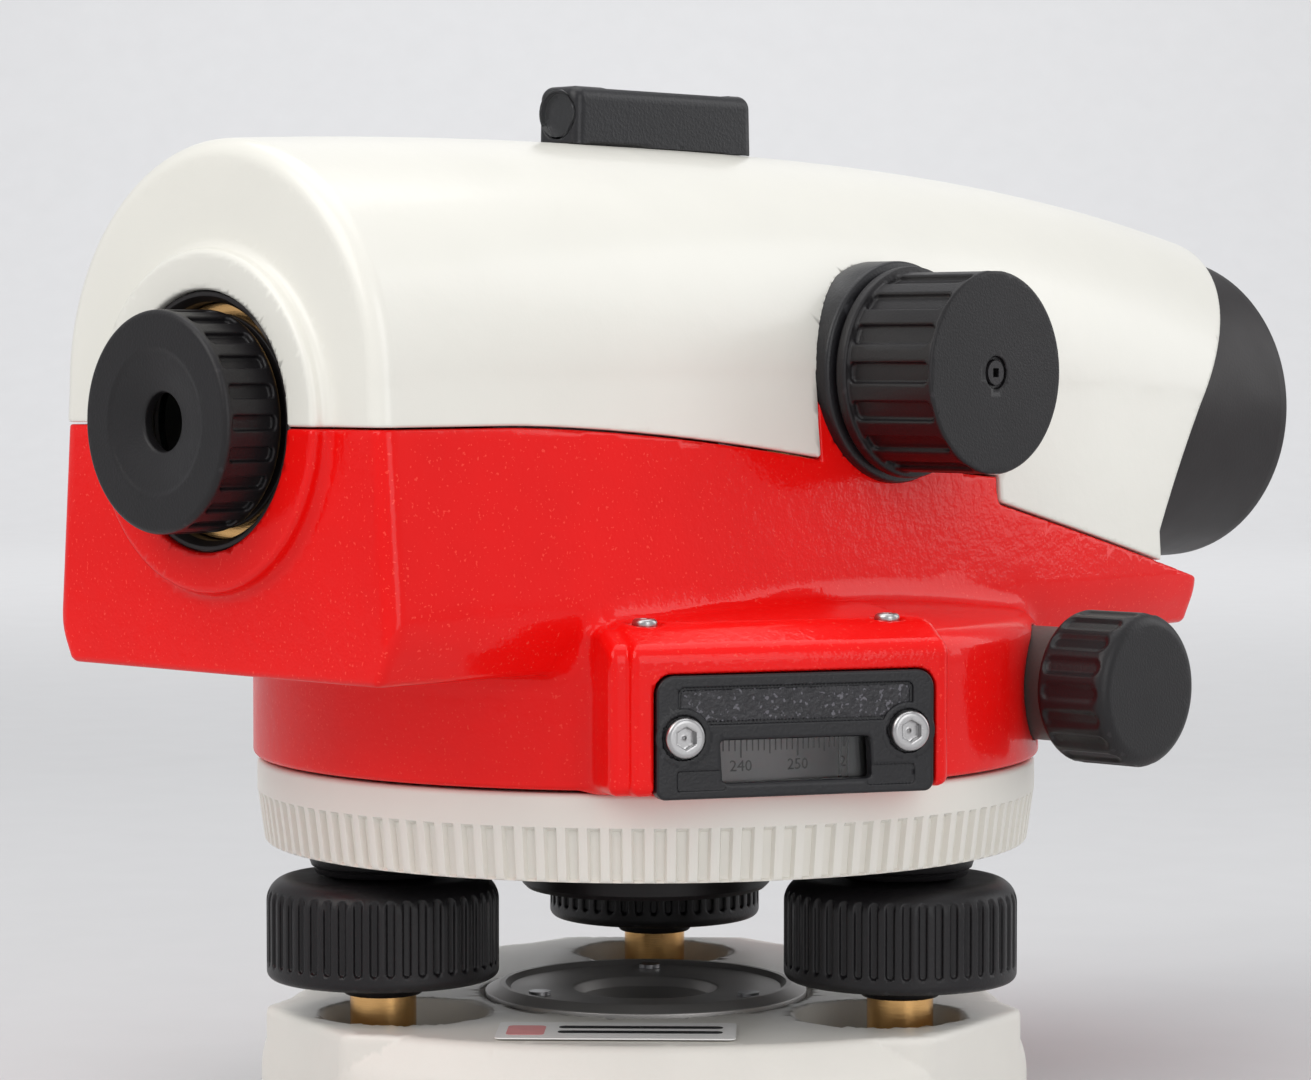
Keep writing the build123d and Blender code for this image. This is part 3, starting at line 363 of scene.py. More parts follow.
# ---------------------------------------------------------------- materials
def surface(name, colour, rough=0.4, metal=0.0, coat=0.0, coat_rough=0.1, mottle=0.04, mottle_scale=60.0,
            grain=0.00002, grain_scale=2500.0, peel=0.0, peel_scale=900.0, flake=None, brushed=None,
            wear=None, specular=0.5, rough_vary=0.06):
    """Painted, moulded or metal surface with a mottled colour and a fine grain.

    Optional: peel, the waviness of paint; flake (colour, scale, threshold); brushed (scale, detail, stretch);
    wear on edges (colour, threshold). Heights are metres, scales are per metre.
    """
    made = bpy.data.materials.new(name)
    made.use_nodes = True
    nodes, links = made.node_tree.nodes, made.node_tree.links
    shader = nodes["Principled BSDF"]
    shader.inputs["Metallic"].default_value = metal
    shader.inputs["Coat Weight"].default_value = coat
    shader.inputs["Coat Roughness"].default_value = coat_rough
    shader.inputs["Specular IOR Level"].default_value = specular
    place = nodes.new("ShaderNodeTexCoord").outputs["Object"]

    def noise(scale, detail=3.0, stretch=None):
        node = nodes.new("ShaderNodeTexNoise")
        node.inputs["Scale"].default_value = scale
        node.inputs["Detail"].default_value = detail
        if stretch:
            mapping = nodes.new("ShaderNodeMapping")
            mapping.inputs["Scale"].default_value = stretch
            links.new(place, mapping.inputs["Vector"])
            links.new(mapping.outputs["Vector"], node.inputs["Vector"])
        else:
            links.new(place, node.inputs["Vector"])
        return node.outputs["Fac"]

    def ramp(value, stops):
        node = nodes.new("ShaderNodeValToRGB")
        node.color_ramp.elements[0].position, node.color_ramp.elements[1].position = stops[0][0], stops[1][0]
        for element, (_, shade) in zip(node.color_ramp.elements, stops):
            element.color = (*shade, 1)
        links.new(value, node.inputs["Fac"])
        return node.outputs["Color"]

    def mix(factor, a, b):
        node = nodes.new("ShaderNodeMix")
        node.data_type = "RGBA"
        for socket, value in ((node.inputs["Factor"], factor), (node.inputs["A"], a), (node.inputs["B"], b)):
            if hasattr(value, "is_linked"):
                links.new(value, socket)
            else:
                socket.default_value = value
        return node.outputs["Result"]

    base = np.array(colour)
    dark, light = base * (1 - mottle), np.minimum(base * (1 + mottle), 1)
    shade = ramp(noise(mottle_scale, 4.0), ((0.3, dark), (0.7, light)))
    if flake:
        speck = ramp(noise(flake[1], 1.0), ((flake[2], (0, 0, 0)), (flake[2] + 0.06, (1, 1, 1))))
        shade = mix(speck, shade, (*flake[0], 1))
    if wear:
        edge = nodes.new("ShaderNodeNewGeometry").outputs["Pointiness"]
        shade = mix(ramp(edge, ((wear[1], (0, 0, 0)), (wear[1] + 0.04, (1, 1, 1)))), shade, (*wear[0], 1))
    links.new(shade, shader.inputs["Base Color"])
    polish = nodes.new("ShaderNodeMapRange")
    polish.inputs["To Min"].default_value = max(rough - rough_vary, 0.02)
    polish.inputs["To Max"].default_value = min(rough + rough_vary, 1.0)
    links.new(noise(*(brushed if brushed else (mottle_scale * 3, 2.0))), polish.inputs["Value"])
    links.new(polish.outputs["Result"], shader.inputs["Roughness"])
    normal = None
    stretched = brushed[2] if brushed else None
    for height, scale, stretch in ((peel, peel_scale, None), (grain, grain_scale, stretched)):
        if not height:
            continue
        bump = nodes.new("ShaderNodeBump")
        bump.inputs["Distance"].default_value = height
        bump.inputs["Strength"].default_value = 1.0
        links.new(noise(scale, 2.0, stretch), bump.inputs["Height"])
        if normal:
            links.new(normal, bump.inputs["Normal"])
        normal = bump.outputs["Normal"]
    if normal:
        links.new(normal, shader.inputs["Normal"])
        if coat and peel:
            links.new(normal, shader.inputs["Coat Normal"])
    return made


def clear(name, colour, rough, ior, tint_scale=25.0, film=0.0):
    """Glass or clear plastic with a faintly uneven tint."""
    made = surface(name, colour, rough=rough, mottle=0.02, mottle_scale=tint_scale, grain=0,
                   rough_vary=rough * 0.4)
    shader = made.node_tree.nodes["Principled BSDF"]
    shader.inputs["Transmission Weight"].default_value = 1.0
    shader.inputs["IOR"].default_value = ior
    if film:
        shader.inputs["Thin Film Thickness"].default_value = film
        shader.inputs["Thin Film IOR"].default_value = 1.38
    return made


MATERIALS = {}


def make_paints():
    MATERIALS["white_enamel"] = surface(
        "white_enamel", (0.82, 0.805, 0.735), 0.34, coat=0.35, coat_rough=0.16, mottle=0.015,
        peel=0.000025, peel_scale=520, grain=0.000006, grain_scale=3000)
    MATERIALS["red_enamel"] = surface(
        "red_enamel", (0.84, 0.0045, 0.0035), 0.40, coat=0.42, coat_rough=0.07, specular=0.05, mottle=0.05,
        mottle_scale=40, peel=0.00004, peel_scale=650, grain=0.00001, grain_scale=2600,
        flake=((0.90, 0.045, 0.03), 2400.0, 0.67))
    MATERIALS["base_enamel"] = surface(
        "base_enamel", (0.78, 0.755, 0.695), 0.46, coat=0.15, coat_rough=0.3, mottle=0.03,
        peel=0.00005, peel_scale=420, grain=0.00002, grain_scale=1800)
    MATERIALS["ink"] = surface("ink", (0.012, 0.012, 0.013), 0.6, mottle=0.2, grain=0.00001)
    MATERIALS["label_paper"] = surface(
        "label_paper", (0.86, 0.85, 0.83), 0.5, mottle=0.02, mottle_scale=400, grain=0.00001,
        grain_scale=3000)
    MATERIALS["label_red"] = surface(
        "label_red", (0.80, 0.30, 0.30), 0.5, mottle=0.05, mottle_scale=400, grain=0.00001)


def make_plastics():
    MATERIALS["ring_plastic"] = surface(
        "ring_plastic", (0.79, 0.765, 0.70), 0.42, mottle=0.02, grain=0.000012, grain_scale=2200)
    MATERIALS["knob_plastic"] = surface(
        "knob_plastic", (0.0095, 0.0085, 0.0095), 0.42, specular=0.36, mottle=0.12, mottle_scale=90,
        grain=0.000035, grain_scale=3200, wear=((0.022, 0.020, 0.022), 0.55))
    MATERIALS["black_plastic"] = surface(
        "black_plastic", (0.010, 0.0098, 0.0115), 0.36, specular=0.42, mottle=0.15, grain=0.00004,
        grain_scale=2600, wear=((0.03, 0.03, 0.033), 0.55))
    MATERIALS["sparkle_plastic"] = surface(
        "sparkle_plastic", (0.018, 0.017, 0.020), 0.42, mottle=0.3, mottle_scale=500,
        grain=0.00022, grain_scale=1700, flake=((0.11, 0.105, 0.12), 1900.0, 0.62))
    MATERIALS["scale_plastic"] = surface("scale_plastic", (0.50, 0.51, 0.51), 0.5, mottle=0.03, grain=0.00001)


def make_metals():
    MATERIALS["black_metal"] = surface(
        "black_metal", (0.015, 0.012, 0.0125), 0.46, specular=0.36, mottle=0.1, grain=0.00002,
        grain_scale=2600, wear=((0.09, 0.08, 0.075), 0.56))
    MATERIALS["steel"] = surface(
        "steel", (0.40, 0.40, 0.41), 0.34, metal=1.0, mottle=0.08, grain=0.00001, grain_scale=700,
        brushed=(500.0, 3.0, (1, 1, 12)))
    MATERIALS["dull_steel"] = surface(
        "dull_steel", (0.46, 0.445, 0.43), 0.46, metal=0.75, mottle=0.06, grain=0.00001, grain_scale=900)
    MATERIALS["bright_steel"] = surface(
        "bright_steel", (0.46, 0.455, 0.455), 0.30, metal=1.0, mottle=0.05, grain=0.000006,
        grain_scale=900, brushed=(700.0, 3.0, (1, 1, 8)))
    MATERIALS["brass"] = surface(
        "brass", (0.78, 0.46, 0.18), 0.24, metal=1.0, mottle=0.08, mottle_scale=120,
        grain=0.000012, grain_scale=500, brushed=(450.0, 3.0, (1, 1, 14)))
    MATERIALS["aluminium"] = surface(
        "aluminium", (0.66, 0.66, 0.67), 0.36, metal=1.0, mottle=0.04, grain=0.00001,
        grain_scale=800, brushed=(500.0, 3.0, (14, 1, 1)))
    MATERIALS["mirror"] = surface(
        "mirror", (0.88, 0.89, 0.90), 0.05, metal=1.0, mottle=0.01, grain=0, rough_vary=0.02)


def make_glasses():
    MATERIALS["optical_glass"] = clear("optical_glass", (0.93, 0.97, 0.96), 0.02, 1.52, film=420.0)
    MATERIALS["window_plastic"] = clear("window_plastic", (0.96, 0.965, 0.965), 0.02, 1.46)
    MATERIALS["level_glass"] = clear("level_glass", (0.80, 0.93, 0.35), 0.03, 1.45)


def dress(piece, slot, body, replaces=(), material=None):
    """Give a piece its finish, its body and the CAD nodes that it stands for."""
    piece.data.materials.clear()
    piece.data.materials.append(MATERIALS[material or slot])
    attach(piece, body)
    if replaces:
        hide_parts(*replaces)
    return piece


# ---------------------------------------------------------------- body: housing, cover and what joins them
def crown(x):
    """Height of the top of the body."""
    d = x - CROWN_X
    return CROWN_Z - np.where(d < 0, 6.1e-4 * d ** 2, 1.553e-4 * d ** 2 + 3.515e-6 * np.abs(d) ** 3)


def body_field(x, y, z, inset=0.0):
    """The body before it is split: arched top, sides that flare out to a bevel, flat bottom."""
    narrow = np.clip((x - 45) / 43, 0, 1.4) ** 2
    half = BODY_HALF - 2.4 * narrow - inset
    flare = BODY_FLARE * (1 - 0.5 * np.minimum(narrow, 1))
    spring = crown(x) - inset - half
    side = np.abs(y)
    arch = np.hypot(y, z - spring) - half
    straight = side - half - flare * (spring - z) / 27.5
    wall = np.where(z > spring, arch, straight)
    # along the bottom edges, 5.5 high and 2.7 across
    bevel = ((side - half - flare) * 5.5 - (z - 66 - inset / 2) * 2.7) / math.hypot(5.5, 2.7)
    shape = meet(wall, REAR_X + inset - x, 0.4 if inset else 2.4)
    shape = meet(shape, bevel, 1.4)
    return meet(shape, BOTTOM_Z + inset - z, 1.0)


def seam_field(x, y, z):
    """Negative below the joint between the housing and the cover."""
    level = SEAM_REAR_Z - 0.00818 * np.maximum(x + 52, 0) ** 1.596
    level = np.where(x > 0.5, 85.1 - (x - 0.5) * 0.085, level)
    behind = meet(z - level, x - SEAM_STEP_X)
    ahead = (z - SEAM_FRONT_Z + 0.253 * np.maximum(x - SEAM_STEP_X, 0)) * 0.97
    below = join(behind, ahead, 0.6)
    pad = meet(meet(np.abs(x - FOCUS_X) - PAD_HALF, z - FOCUS_Z), y + 20)
    return join(below, pad)


def front_field(x, z):
    """Negative behind the cover's leaning front edge."""
    rise = np.maximum(z - FRONT_Z, 0)
    return (x - FRONT_X - 0.62 * rise - 0.0045 * rise ** 2) * 0.82


def drum_field(x, y, z):
    """Round lower part over the circle, with a conical top."""
    radius = np.hypot(x, y)
    top = (z - 64.6 - (DRUM_RADIUS - np.maximum(radius, 30)) * 0.156) * 0.988
    return meet(meet(radius - DRUM_RADIUS, DRUM_Z0 - z, 0.7), top, 2.4)


def window_field(x, y, z):
    """Block round the circle window, with a sloping roof and a stepped left end."""
    u, v = turned(x, y, WINDOW_ANGLE)
    roof = meet((u - WINDOW_U) * 0.447 + (z - 64.0) * 0.894, z - 66.7, 0.8)
    block = meet(meet(u - WINDOW_U, slab(v, -20.2, 19.4), 1.1), meet(roof, DRUM_Z0 - z, 0.4), 1.3)
    step = meet(meet(u - WINDOW_U + 1.3, slab(v, -22.4, -10), 1.1), meet(roof + 0.6, DRUM_Z0 - z, 0.4), 1.3)
    return meet(join(block, step, 0.4), 30 - u)


def eyepiece_boss(x, y, z):
    """Round raised pad on the rear wall."""
    return disc(y, z - SIGHT_Z, x, 20.0, REAR_X - 2.0, REAR_X + 3, 0.8)


COVER_SCREWS_X, COVER_SCREW_Y, COVER_SCREW_TOP = (-60, 50), 22.7, 61.8


def body_hollow(x, y, z):
    """Room inside both halves, with the holes that they share."""
    inner = meet(body_field(x, y, z, WALL), front_field(x, z) + WALL, 0.5)
    inner = join(inner, disc(y, z - SIGHT_Z, x, EYEPIECE_HOLE, REAR_X - 5, REAR_X + 8))
    inner = join(inner, disc(y, z - SIGHT_Z, x, OBJECTIVE_HOLE, 64, 115))
    return join(inner, disc(x - FOCUS_X, z - FOCUS_Z, y, FOCUS_HOLE, -36, -24))


def cover_field(x, y, z):
    """White upper half of the body."""
    shape = join(body_field(x, y, z), eyepiece_boss(x, y, z), 1.2)
    shape = meet(shape, front_field(x, z), 0.9)
    shape = cut(shape, seam_field(x, y, z) - 0.12, 0.35)
    return cut(shape, body_hollow(x, y, z), 0.4)


def housing_field(x, y, z):
    """Red lower half of the body, with the drum and the window block."""
    body = body_field(x, y, z) + 0.22
    nose = np.hypot(np.maximum(x - 44, 0), y * 0.57) - 40.0
    body = meet(body, nose, 1.6)
    body = join(body, eyepiece_boss(x, y, z), 1.2)
    body = meet(body, seam_field(x, y, z) + 0.12, 0.35)
    lower = join(drum_field(x, y, z), window_field(x, y, z), 1.6)
    shape = join(body, lower, 2.6)
    u, v = turned(x, y, WINDOW_ANGLE)
    for place, radius in zip(LEDGE_SCREW_V, (2.1, 2.0)):
        shape = cut(shape, meet(np.hypot(u - LEDGE_SCREW_U, v - place) - radius, 66.3 - z), 0.3)
    shape = cut(shape, meet(body_hollow(x, y, z), BOTTOM_Z + WALL - z), 0.4)
    shape = cut(shape, disc(x, y, z, DRUM_RADIUS - WALL, DRUM_Z0 - 5, BOTTOM_Z, 1.0), 0.5)
    shape = cut(shape, disc(x, y, z, 10.5, 50, 80), 0.3)
    seat = cuboid(u, v, z, (SEAT_U, -SEAT_HALF, 45), (60, SEAT_HALF, SEAT_TOP), 0.05)
    corners = meet(slab(v, -SEAT_HALF, SEAT_HALF), z - SEAT_TOP, 2.3)
    shape = cut(shape, meet(seat, corners), 0.25)
    shape = cut(shape, meet(meet(slab(v, -11, 11), slab(z, 47.6, 54.6)), 40 - u), 0.2)
    for place in COVER_SCREWS_X:
        head = np.hypot(x - place, np.abs(y) - COVER_SCREW_Y) - 2.9
        shape = cut(shape, meet(head, z - COVER_SCREW_TOP), 0.15)
    side = disc(x - DRIVE_X, z - DRIVE_Z, np.abs(y), 7.25, 30, 60)
    return cut(shape, side, 0.4)


def make_body():
    cell = 0.42
    cover = field_object("cover_shell", cover_field, (-74.5, -32, 62), (105.5, 32, 125), cell, adapt=0.006)
    dress(cover, "white_enamel", "alidade", ["upper_cover"])
    housing = field_object("housing_shell", housing_field, (-74.5, -56, 46), (86, 52, 98), cell, adapt=0.007)
    dress(housing, "red_enamel", "alidade", ["lower_housing"])


# ---------------------------------------------------------------- knobs
def grip_field(u, v, w, radius, low, high, edge, count, slot, depth, slot_low, slot_high, slot_r=0.3,
               edge_low=None):
    """Round knob with count rounded slots, slot being their half width, cut along its grip."""
    reach = np.hypot(u, v)
    shape = meet(meet(reach - radius, w - high, edge), low - w, edge if edge_low is None else edge_low)
    across = reach * np.sin(wedge_angle(u, v, count))
    groove = meet(meet(np.abs(across) - slot, slab(w, slot_low, slot_high), min(slot, slot_r * 2)),
                  radius - depth - reach, slot_r)
    return cut(shape, groove, slot_r)


def eyepiece_knob_field(x, y, z):
    """Eyepiece knob: dished face, viewing hole and slotted grip."""
    w = -x
    u, v = y, z - SIGHT_Z
    reach = np.hypot(u, v)
    face = -mm_box("eyepiece_knob")[0][0]
    shape = grip_field(u, v, w, 12.9, 71.8, face, 0.7, 22, 0.85, 0.75, 72.9, face - 1.1, 0.28)
    dish = meet(reach - 8.4, face - (8.4 - reach) * 0.24 - w, 0.5)
    shape = cut(shape, dish, 0.5)
    shape = cut(shape, reach - 3.4, 0.35)
    return cut(shape, meet(reach - 10.5, w - face + 2.6), 0.2)


def focus_knob_field(x, y, z):
    """Focusing knob with a flange at its foot and a hole for its screw."""
    w = -y
    u, v = x - FOCUS_X, z - FOCUS_Z
    reach = np.hypot(u, v)
    face = -FOCUS_LOW[1]
    shape = grip_field(u, v, w, 12.6, face - 15, face, 0.45, 16, 1.25, 0.75, face - 13.2, face - 0.55, 0.4,
                       1.4)
    shape = join(shape, disc(u, v, w, 13.3, face - 14.9, face - 13.3, 0.5), 0.3)
    shape = cut(shape, meet(reach - 2.05, face - 0.55 - w), 0.15)
    return cut(shape, reach - 1.55, 0.1)


def drive_knob_field(x, y, z, side):
    """Horizontal drive knob at one side of the body."""
    w = y * side
    face = DRIVE_HIGH[1]
    shape = grip_field(x - DRIVE_X, z - DRIVE_Z, w, 9.6, face - 10.7, face, 1.7, 18, 0.95, 0.38, face - 9.6,
                       face - 1.2, 0.5, 1.2)
    return cut(shape, meet(np.hypot(x - DRIVE_X, z - DRIVE_Z) - 2.55, w - face + 4.0))


def footscrew_field(x, y, z):
    """Footscrew knob on its own axis, at its real height."""
    reach = np.hypot(x, y)
    low, high = KNOB_Z0, KNOB_Z0 + 12.8
    shape = grip_field(x, y, z, 14.5, low, high, 3.0, 45, 0.48, 0.5, low + 2.0, high - 1.6, 0.24, 1.1)
    shape = join(shape, disc(x, y, z, 6.0, high - 2, 39.2, 0.2), 0.6)
    collar = meet(meet(reach - 5.6 - (z - low) * 0.35, low - 2.1 - z, 0.35), z - low - 3)
    shape = join(shape, collar, 0.5)
    bore = meet(reach - 4.2, z - low - 12.2)
    return cut(shape, bore, 0.2)


def make_knobs():
    reach = 13.2
    eyepiece = field_object("eyepiece_grip", eyepiece_knob_field, (-80.5, -reach, SIGHT_Z - reach),
                            (-71.5, reach, SIGHT_Z + reach), 0.22, adapt=0.008)
    dress(eyepiece, "knob_plastic", "eyepiece", ["eyepiece_knob"])
    around = reach + 0.5
    focus = field_object("focus_grip", focus_knob_field, (FOCUS_X - around, -46.5, FOCUS_Z - around),
                         (FOCUS_X + around, -31, FOCUS_Z + around), 0.25, adapt=0.008)
    dress(focus, "knob_plastic", "focus", ["focus_knob"])
    for side, name in ((-1, "drive_grip_left"), (1, "drive_grip_right")):
        near, far = sorted((49.0 * side, 60.3 * side))
        grip = field_object(name, lambda x, y, z, s=side: drive_knob_field(x, y, z, s),
                            (DRIVE_X - 10, near, DRIVE_Z - 10), (DRIVE_X + 10, far, DRIVE_Z + 10), 0.25,
                            adapt=0.008)
        dress(grip, "knob_plastic", "drive")
    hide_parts("drive_knobs")
    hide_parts("drive_knobs")
    bodies = ("left_footscrew", "right_footscrew", "rear_footscrew")
    for number, (place, body) in enumerate(zip(KNOBS, bodies), 1):
        grip = field_object(f"footscrew_grip_{number}", footscrew_field, (-15, -15, 17.6), (15, 15, 39.6),
                            0.27, adapt=0.008)
        grip.location = (*(place * MM), 0)
        dress(grip, "knob_plastic", body, [f"footscrew_knob_{number}"])


# ---------------------------------------------------------------- circle: hand ring, scale, window
def make_ring():
    flutes, radius, top = 120, RING_HIGH[0], RING_HIGH[2]
    low, band = RING_LOW[2], 42.6
    web, bore, inner, depth = (40.2, 42.2), 17.06, (46.4, 45.5), 0.8

    def relief(angles, height):
        """Depth of the grip flutes at a height: round-topped, and fading at their ends."""
        if height > band or height < low:
            return 0 * angles
        phase = (angles * flutes / (2 * math.pi)) % 1.0
        ridge = np.clip((np.abs(phase - 0.5) - 0.20) / 0.12, 0, 1)
        fade = np.clip((band - height) / 0.5, 0, 1) * np.clip((height - low) / 0.4, 0, 1)
        return -depth * (1 - ridge ** 2 * (3 - 2 * ridge)) * fade

    rows = [(bore, web[0]), (inner[0], web[0]), (inner[0], low, 0.3), (radius - 1.0, low, 0.45)]
    rows += [(radius - 0.95 + 0.95 * (z - low) / 7, z) for z in np.arange(low + 0.6, band - 0.1, 0.5)]
    rows += [(radius, band), (radius, band + 0.15), (radius, top, 0.7), (inner[1], top, 0.3)]
    rows += [(inner[1], web[1]), (bore, web[1])]
    ring = lathe("hand_ring", rows, steps=flutes * 10, relief=relief, sharp=40)
    dress(ring, "ring_plastic", "circle", ["circle_ring"])


# Corners of a box as list indices: the four of one end, then the four of the other.
BOX_FACES = ((3, 2, 1, 0), (4, 5, 6, 7), (0, 1, 5, 4), (1, 2, 6, 5), (2, 3, 7, 6), (3, 0, 4, 7))


def make_ticks(radius, top):
    """A short bar for every degree, longer at each fifth and tenth."""
    points, faces = [], []
    for degree in range(360):
        length = 2.3 if degree % 10 == 0 else 1.9 if degree % 5 == 0 else 1.5
        half = 0.10 if degree % 10 == 0 else 0.075
        start = len(points)
        for reach in (radius - 0.2, radius):
            for side, height in ((-half, top - length), (half, top - length), (half, top), (-half, top)):
                angle = math.radians(degree) + side / radius
                points.append((reach * math.cos(angle), reach * math.sin(angle), height))
        faces += [[start + k for k in face] for face in BOX_FACES]
    ticks = mesh_object("scale_ticks", points, faces)
    dress(ticks, "scale_plastic", "circle", material="ink")


def make_figures(radius, base):
    """The number of every tenth degree, bent round the circle, with its foot at height base."""
    points, faces = [], []
    for degree in range(0, 360, 10):
        curve = bpy.data.curves.new("figure", "FONT")
        curve.body = str(degree)
        curve.size, curve.align_x, curve.resolution_u = 1.9, "CENTER", 2
        curve.extrude = 0.1
        text = bpy.data.objects.new("figure", curve)
        bpy.context.scene.collection.objects.link(text)
        mesh = bpy.data.meshes.new_from_object(text)
        start = len(points)
        for vertex in mesh.vertices:
            angle = math.radians(degree) + vertex.co.x / radius
            reach = radius - 0.07 + vertex.co.z
            points.append((reach * math.cos(angle), reach * math.sin(angle), base + vertex.co.y))
        faces += [[start + k for k in face.vertices] for face in mesh.polygons]
        bpy.data.objects.remove(text)
        bpy.data.curves.remove(curve)
        bpy.data.meshes.remove(mesh)
    dress(mesh_object("scale_figures", points, faces), "scale_plastic", "circle", material="ink")


def make_scale():
    """Degree ticks and numbers round the graduated circle."""
    high = mm_box("graduated_circle")[1]
    radius, top = high[0] + 0.03, high[2] - 0.9
    make_ticks(radius, top)
    make_figures(radius, top - 3.9)


def plate_field(x, y, z):
    """Window plate: rounded top corners, a sunk textured panel, the sight opening and screw seats."""
    u, v = turned(x, y, WINDOW_ANGLE)
    outline = meet(slab(v, -PLATE_HALF, PLATE_HALF), z - PLATE_TOP, 2.2)
    outline = meet(outline, PLATE_BOTTOM - z, 1.2)
    shape = meet(outline, slab(u, 52.25, 54.25), 0.35)
    rim = meet(slab(v, -14.6, 14.6), slab(z, 55.2, 59.6), 0.8)
    shape = cut(shape, meet(rim, 53.85 - u), 0.15)
    opening = meet(slab(v + (z - 50.8) * 0.06, -9.3, 9.3), slab(z, 48.4, 53.3), 0.5)
    shape = cut(shape, opening, 0.45)
    for side in (-1, 1):
        away = np.hypot(v - PLATE_SCREW_V * side, z - PLATE_SCREW_Z)
        shape = join(shape, meet(away - 3.4, slab(u, 53, 54.3), 0.2))
        shape = cut(shape, meet(away - 2.6, WINDOW_U - u), 0.1)
        panel = meet(slab(v * side, 8.8, 14.8), slab(z, 47.6, 49.9), 0.4)
        shape = cut(shape, meet(panel, 54.05 - u), 0.1)
    return shape


def panel_field(x, y, z):
    """Textured floor of the plate's sunk panel."""
    u, v = turned(x, y, WINDOW_ANGLE)
    shape = meet(slab(v, -14.3, 14.3), slab(z, 55.5, 59.3), 0.7)
    return meet(shape, slab(u, 53.6, 53.95), 0.1)


def screw_field(u, v, w, radius, head, hexagon):
    """Button-head screw with a hexagon socket; w runs outwards from the seat."""
    reach = np.hypot(u, v)
    dome = meet(reach - radius, slab(w, -0.5, head), 0.55)
    angle = wedge_angle(u, v, 6)
    socket = meet(reach * np.cos(angle) - hexagon, 0.25 - w + np.maximum(0, 0.3 - reach) * 0.8)
    return cut(dome, socket, 0.12)


def make_screw(field, centre, low_z, high_z, reach, cell):
    """Screw head out of a field, round a centre in plan and between two heights."""
    low, high = (*(centre - reach), low_z), (*(centre + reach), high_z)
    return field_object("screw", field, low, high, cell)


def make_window():
    ahead, side = directions(WINDOW_ANGLE)
    plate = field_object("window_frame", plate_field, (-41, -57, 46), (-7, -38, 61.5), 0.2, adapt=0.006)
    dress(plate, "black_plastic", "alidade", ["window_plate"])
    panel = field_object("window_panel", panel_field, (-41, -57, 55), (-7, -38, 60), 0.2, adapt=0.01)
    dress(panel, "black_plastic", "alidade", material="sparkle_plastic")

    screws = []
    for place in (-PLATE_SCREW_V, PLATE_SCREW_V):
        def plate_screw(x, y, z, place=place):
            u, v = turned(x, y, WINDOW_ANGLE)
            return screw_field(v - place, z - PLATE_SCREW_Z, u - 54.05, 2.4, 1.25, 1.15)
        screws.append(make_screw(plate_screw, ahead * WINDOW_U + side * place, 51, 56.5, 3, 0.12))
    dress(joined("window_screw_heads", screws), "bright_steel", "alidade", ["window_screws"])

    screws = []
    for place in LEDGE_SCREW_V:
        centre = ahead * LEDGE_SCREW_U + side * place

        def ledge_screw(x, y, z, centre=centre):
            return screw_field(x - centre[0], y - centre[1], z - 66.4, 1.5, 0.8, 0.62)
        screws.append(make_screw(ledge_screw, centre, 65.5, 68, 2, 0.1))
    dress(joined("ledge_screw_heads", screws), "bright_steel", "alidade", ["ledge_screws"])

    # index line, and the dark block at the right end of the opening
    points, faces = [], []
    low, high = 47.9, 53.6
    for left, right in ((6.4, 6.7), (7.5, 10.7)):
        start = len(points)
        for u in (50.6, 50.95):
            for v, z in ((left, low), (right, low), (right, high), (left, high)):
                points.append((*(ahead * u + side * v), z))
        faces += [[start + k for k in face] for face in BOX_FACES]
    dress(mesh_object("window_pointer", points, faces), "black_plastic", "alidade", material="ink")


# ---------------------------------------------------------------- levelling head, feet and base
def make_head():
    """Dust caps between the footscrew knobs and the arms of the head."""
    caps = []
    rows = [(6.35, 33.35), (8.3, 33.35, 0.3), (8.6, 34.0), (8.4, 34.2), (8.9, 34.4, 0.15), (9.3, 35.6, 0.2),
            (6.35, 35.6)]
    for place in KNOBS:
        caps.append(lathe("cap", rows, centre=(*place, 0)))
    dress(joined("screw_dust_caps", caps), "knob_plastic", "head", ["dust_caps"])


def make_feet():
    bodies = ("left_foot", "right_foot", "head")
    rows = [(0, 6.6), (5.3, 6.6, 0.25), (5.3, 7.9, 0.3), (4.4, 7.9), (4.4, 8.6), (3.9, 8.9), (3.9, 9.5),
            (4.15, 9.8), (4.15, 18.4), (4.15, 29.0, 0.4), (0, 29.0)]
    for number, (place, body) in enumerate(zip(KNOBS, bodies), 1):
        foot = lathe(f"threaded_foot_{number}", rows, centre=(*place, 0), steps=64)
        dress(foot, "brass", body, [f"foot_{number}"])


# The base's three bulging sides are arcs about points SIDE_OFFSET behind the axis.
SIDE_OFFSET, SIDE_RADIUS, TOP_SIDE_RADIUS, BASE_FACET = 22.6, 68.2, 65.0, 48.3
BEVEL_SLOPE = 0.533                             # outward run of the bevel for each mm down
LABEL_ANGLE = -137.3


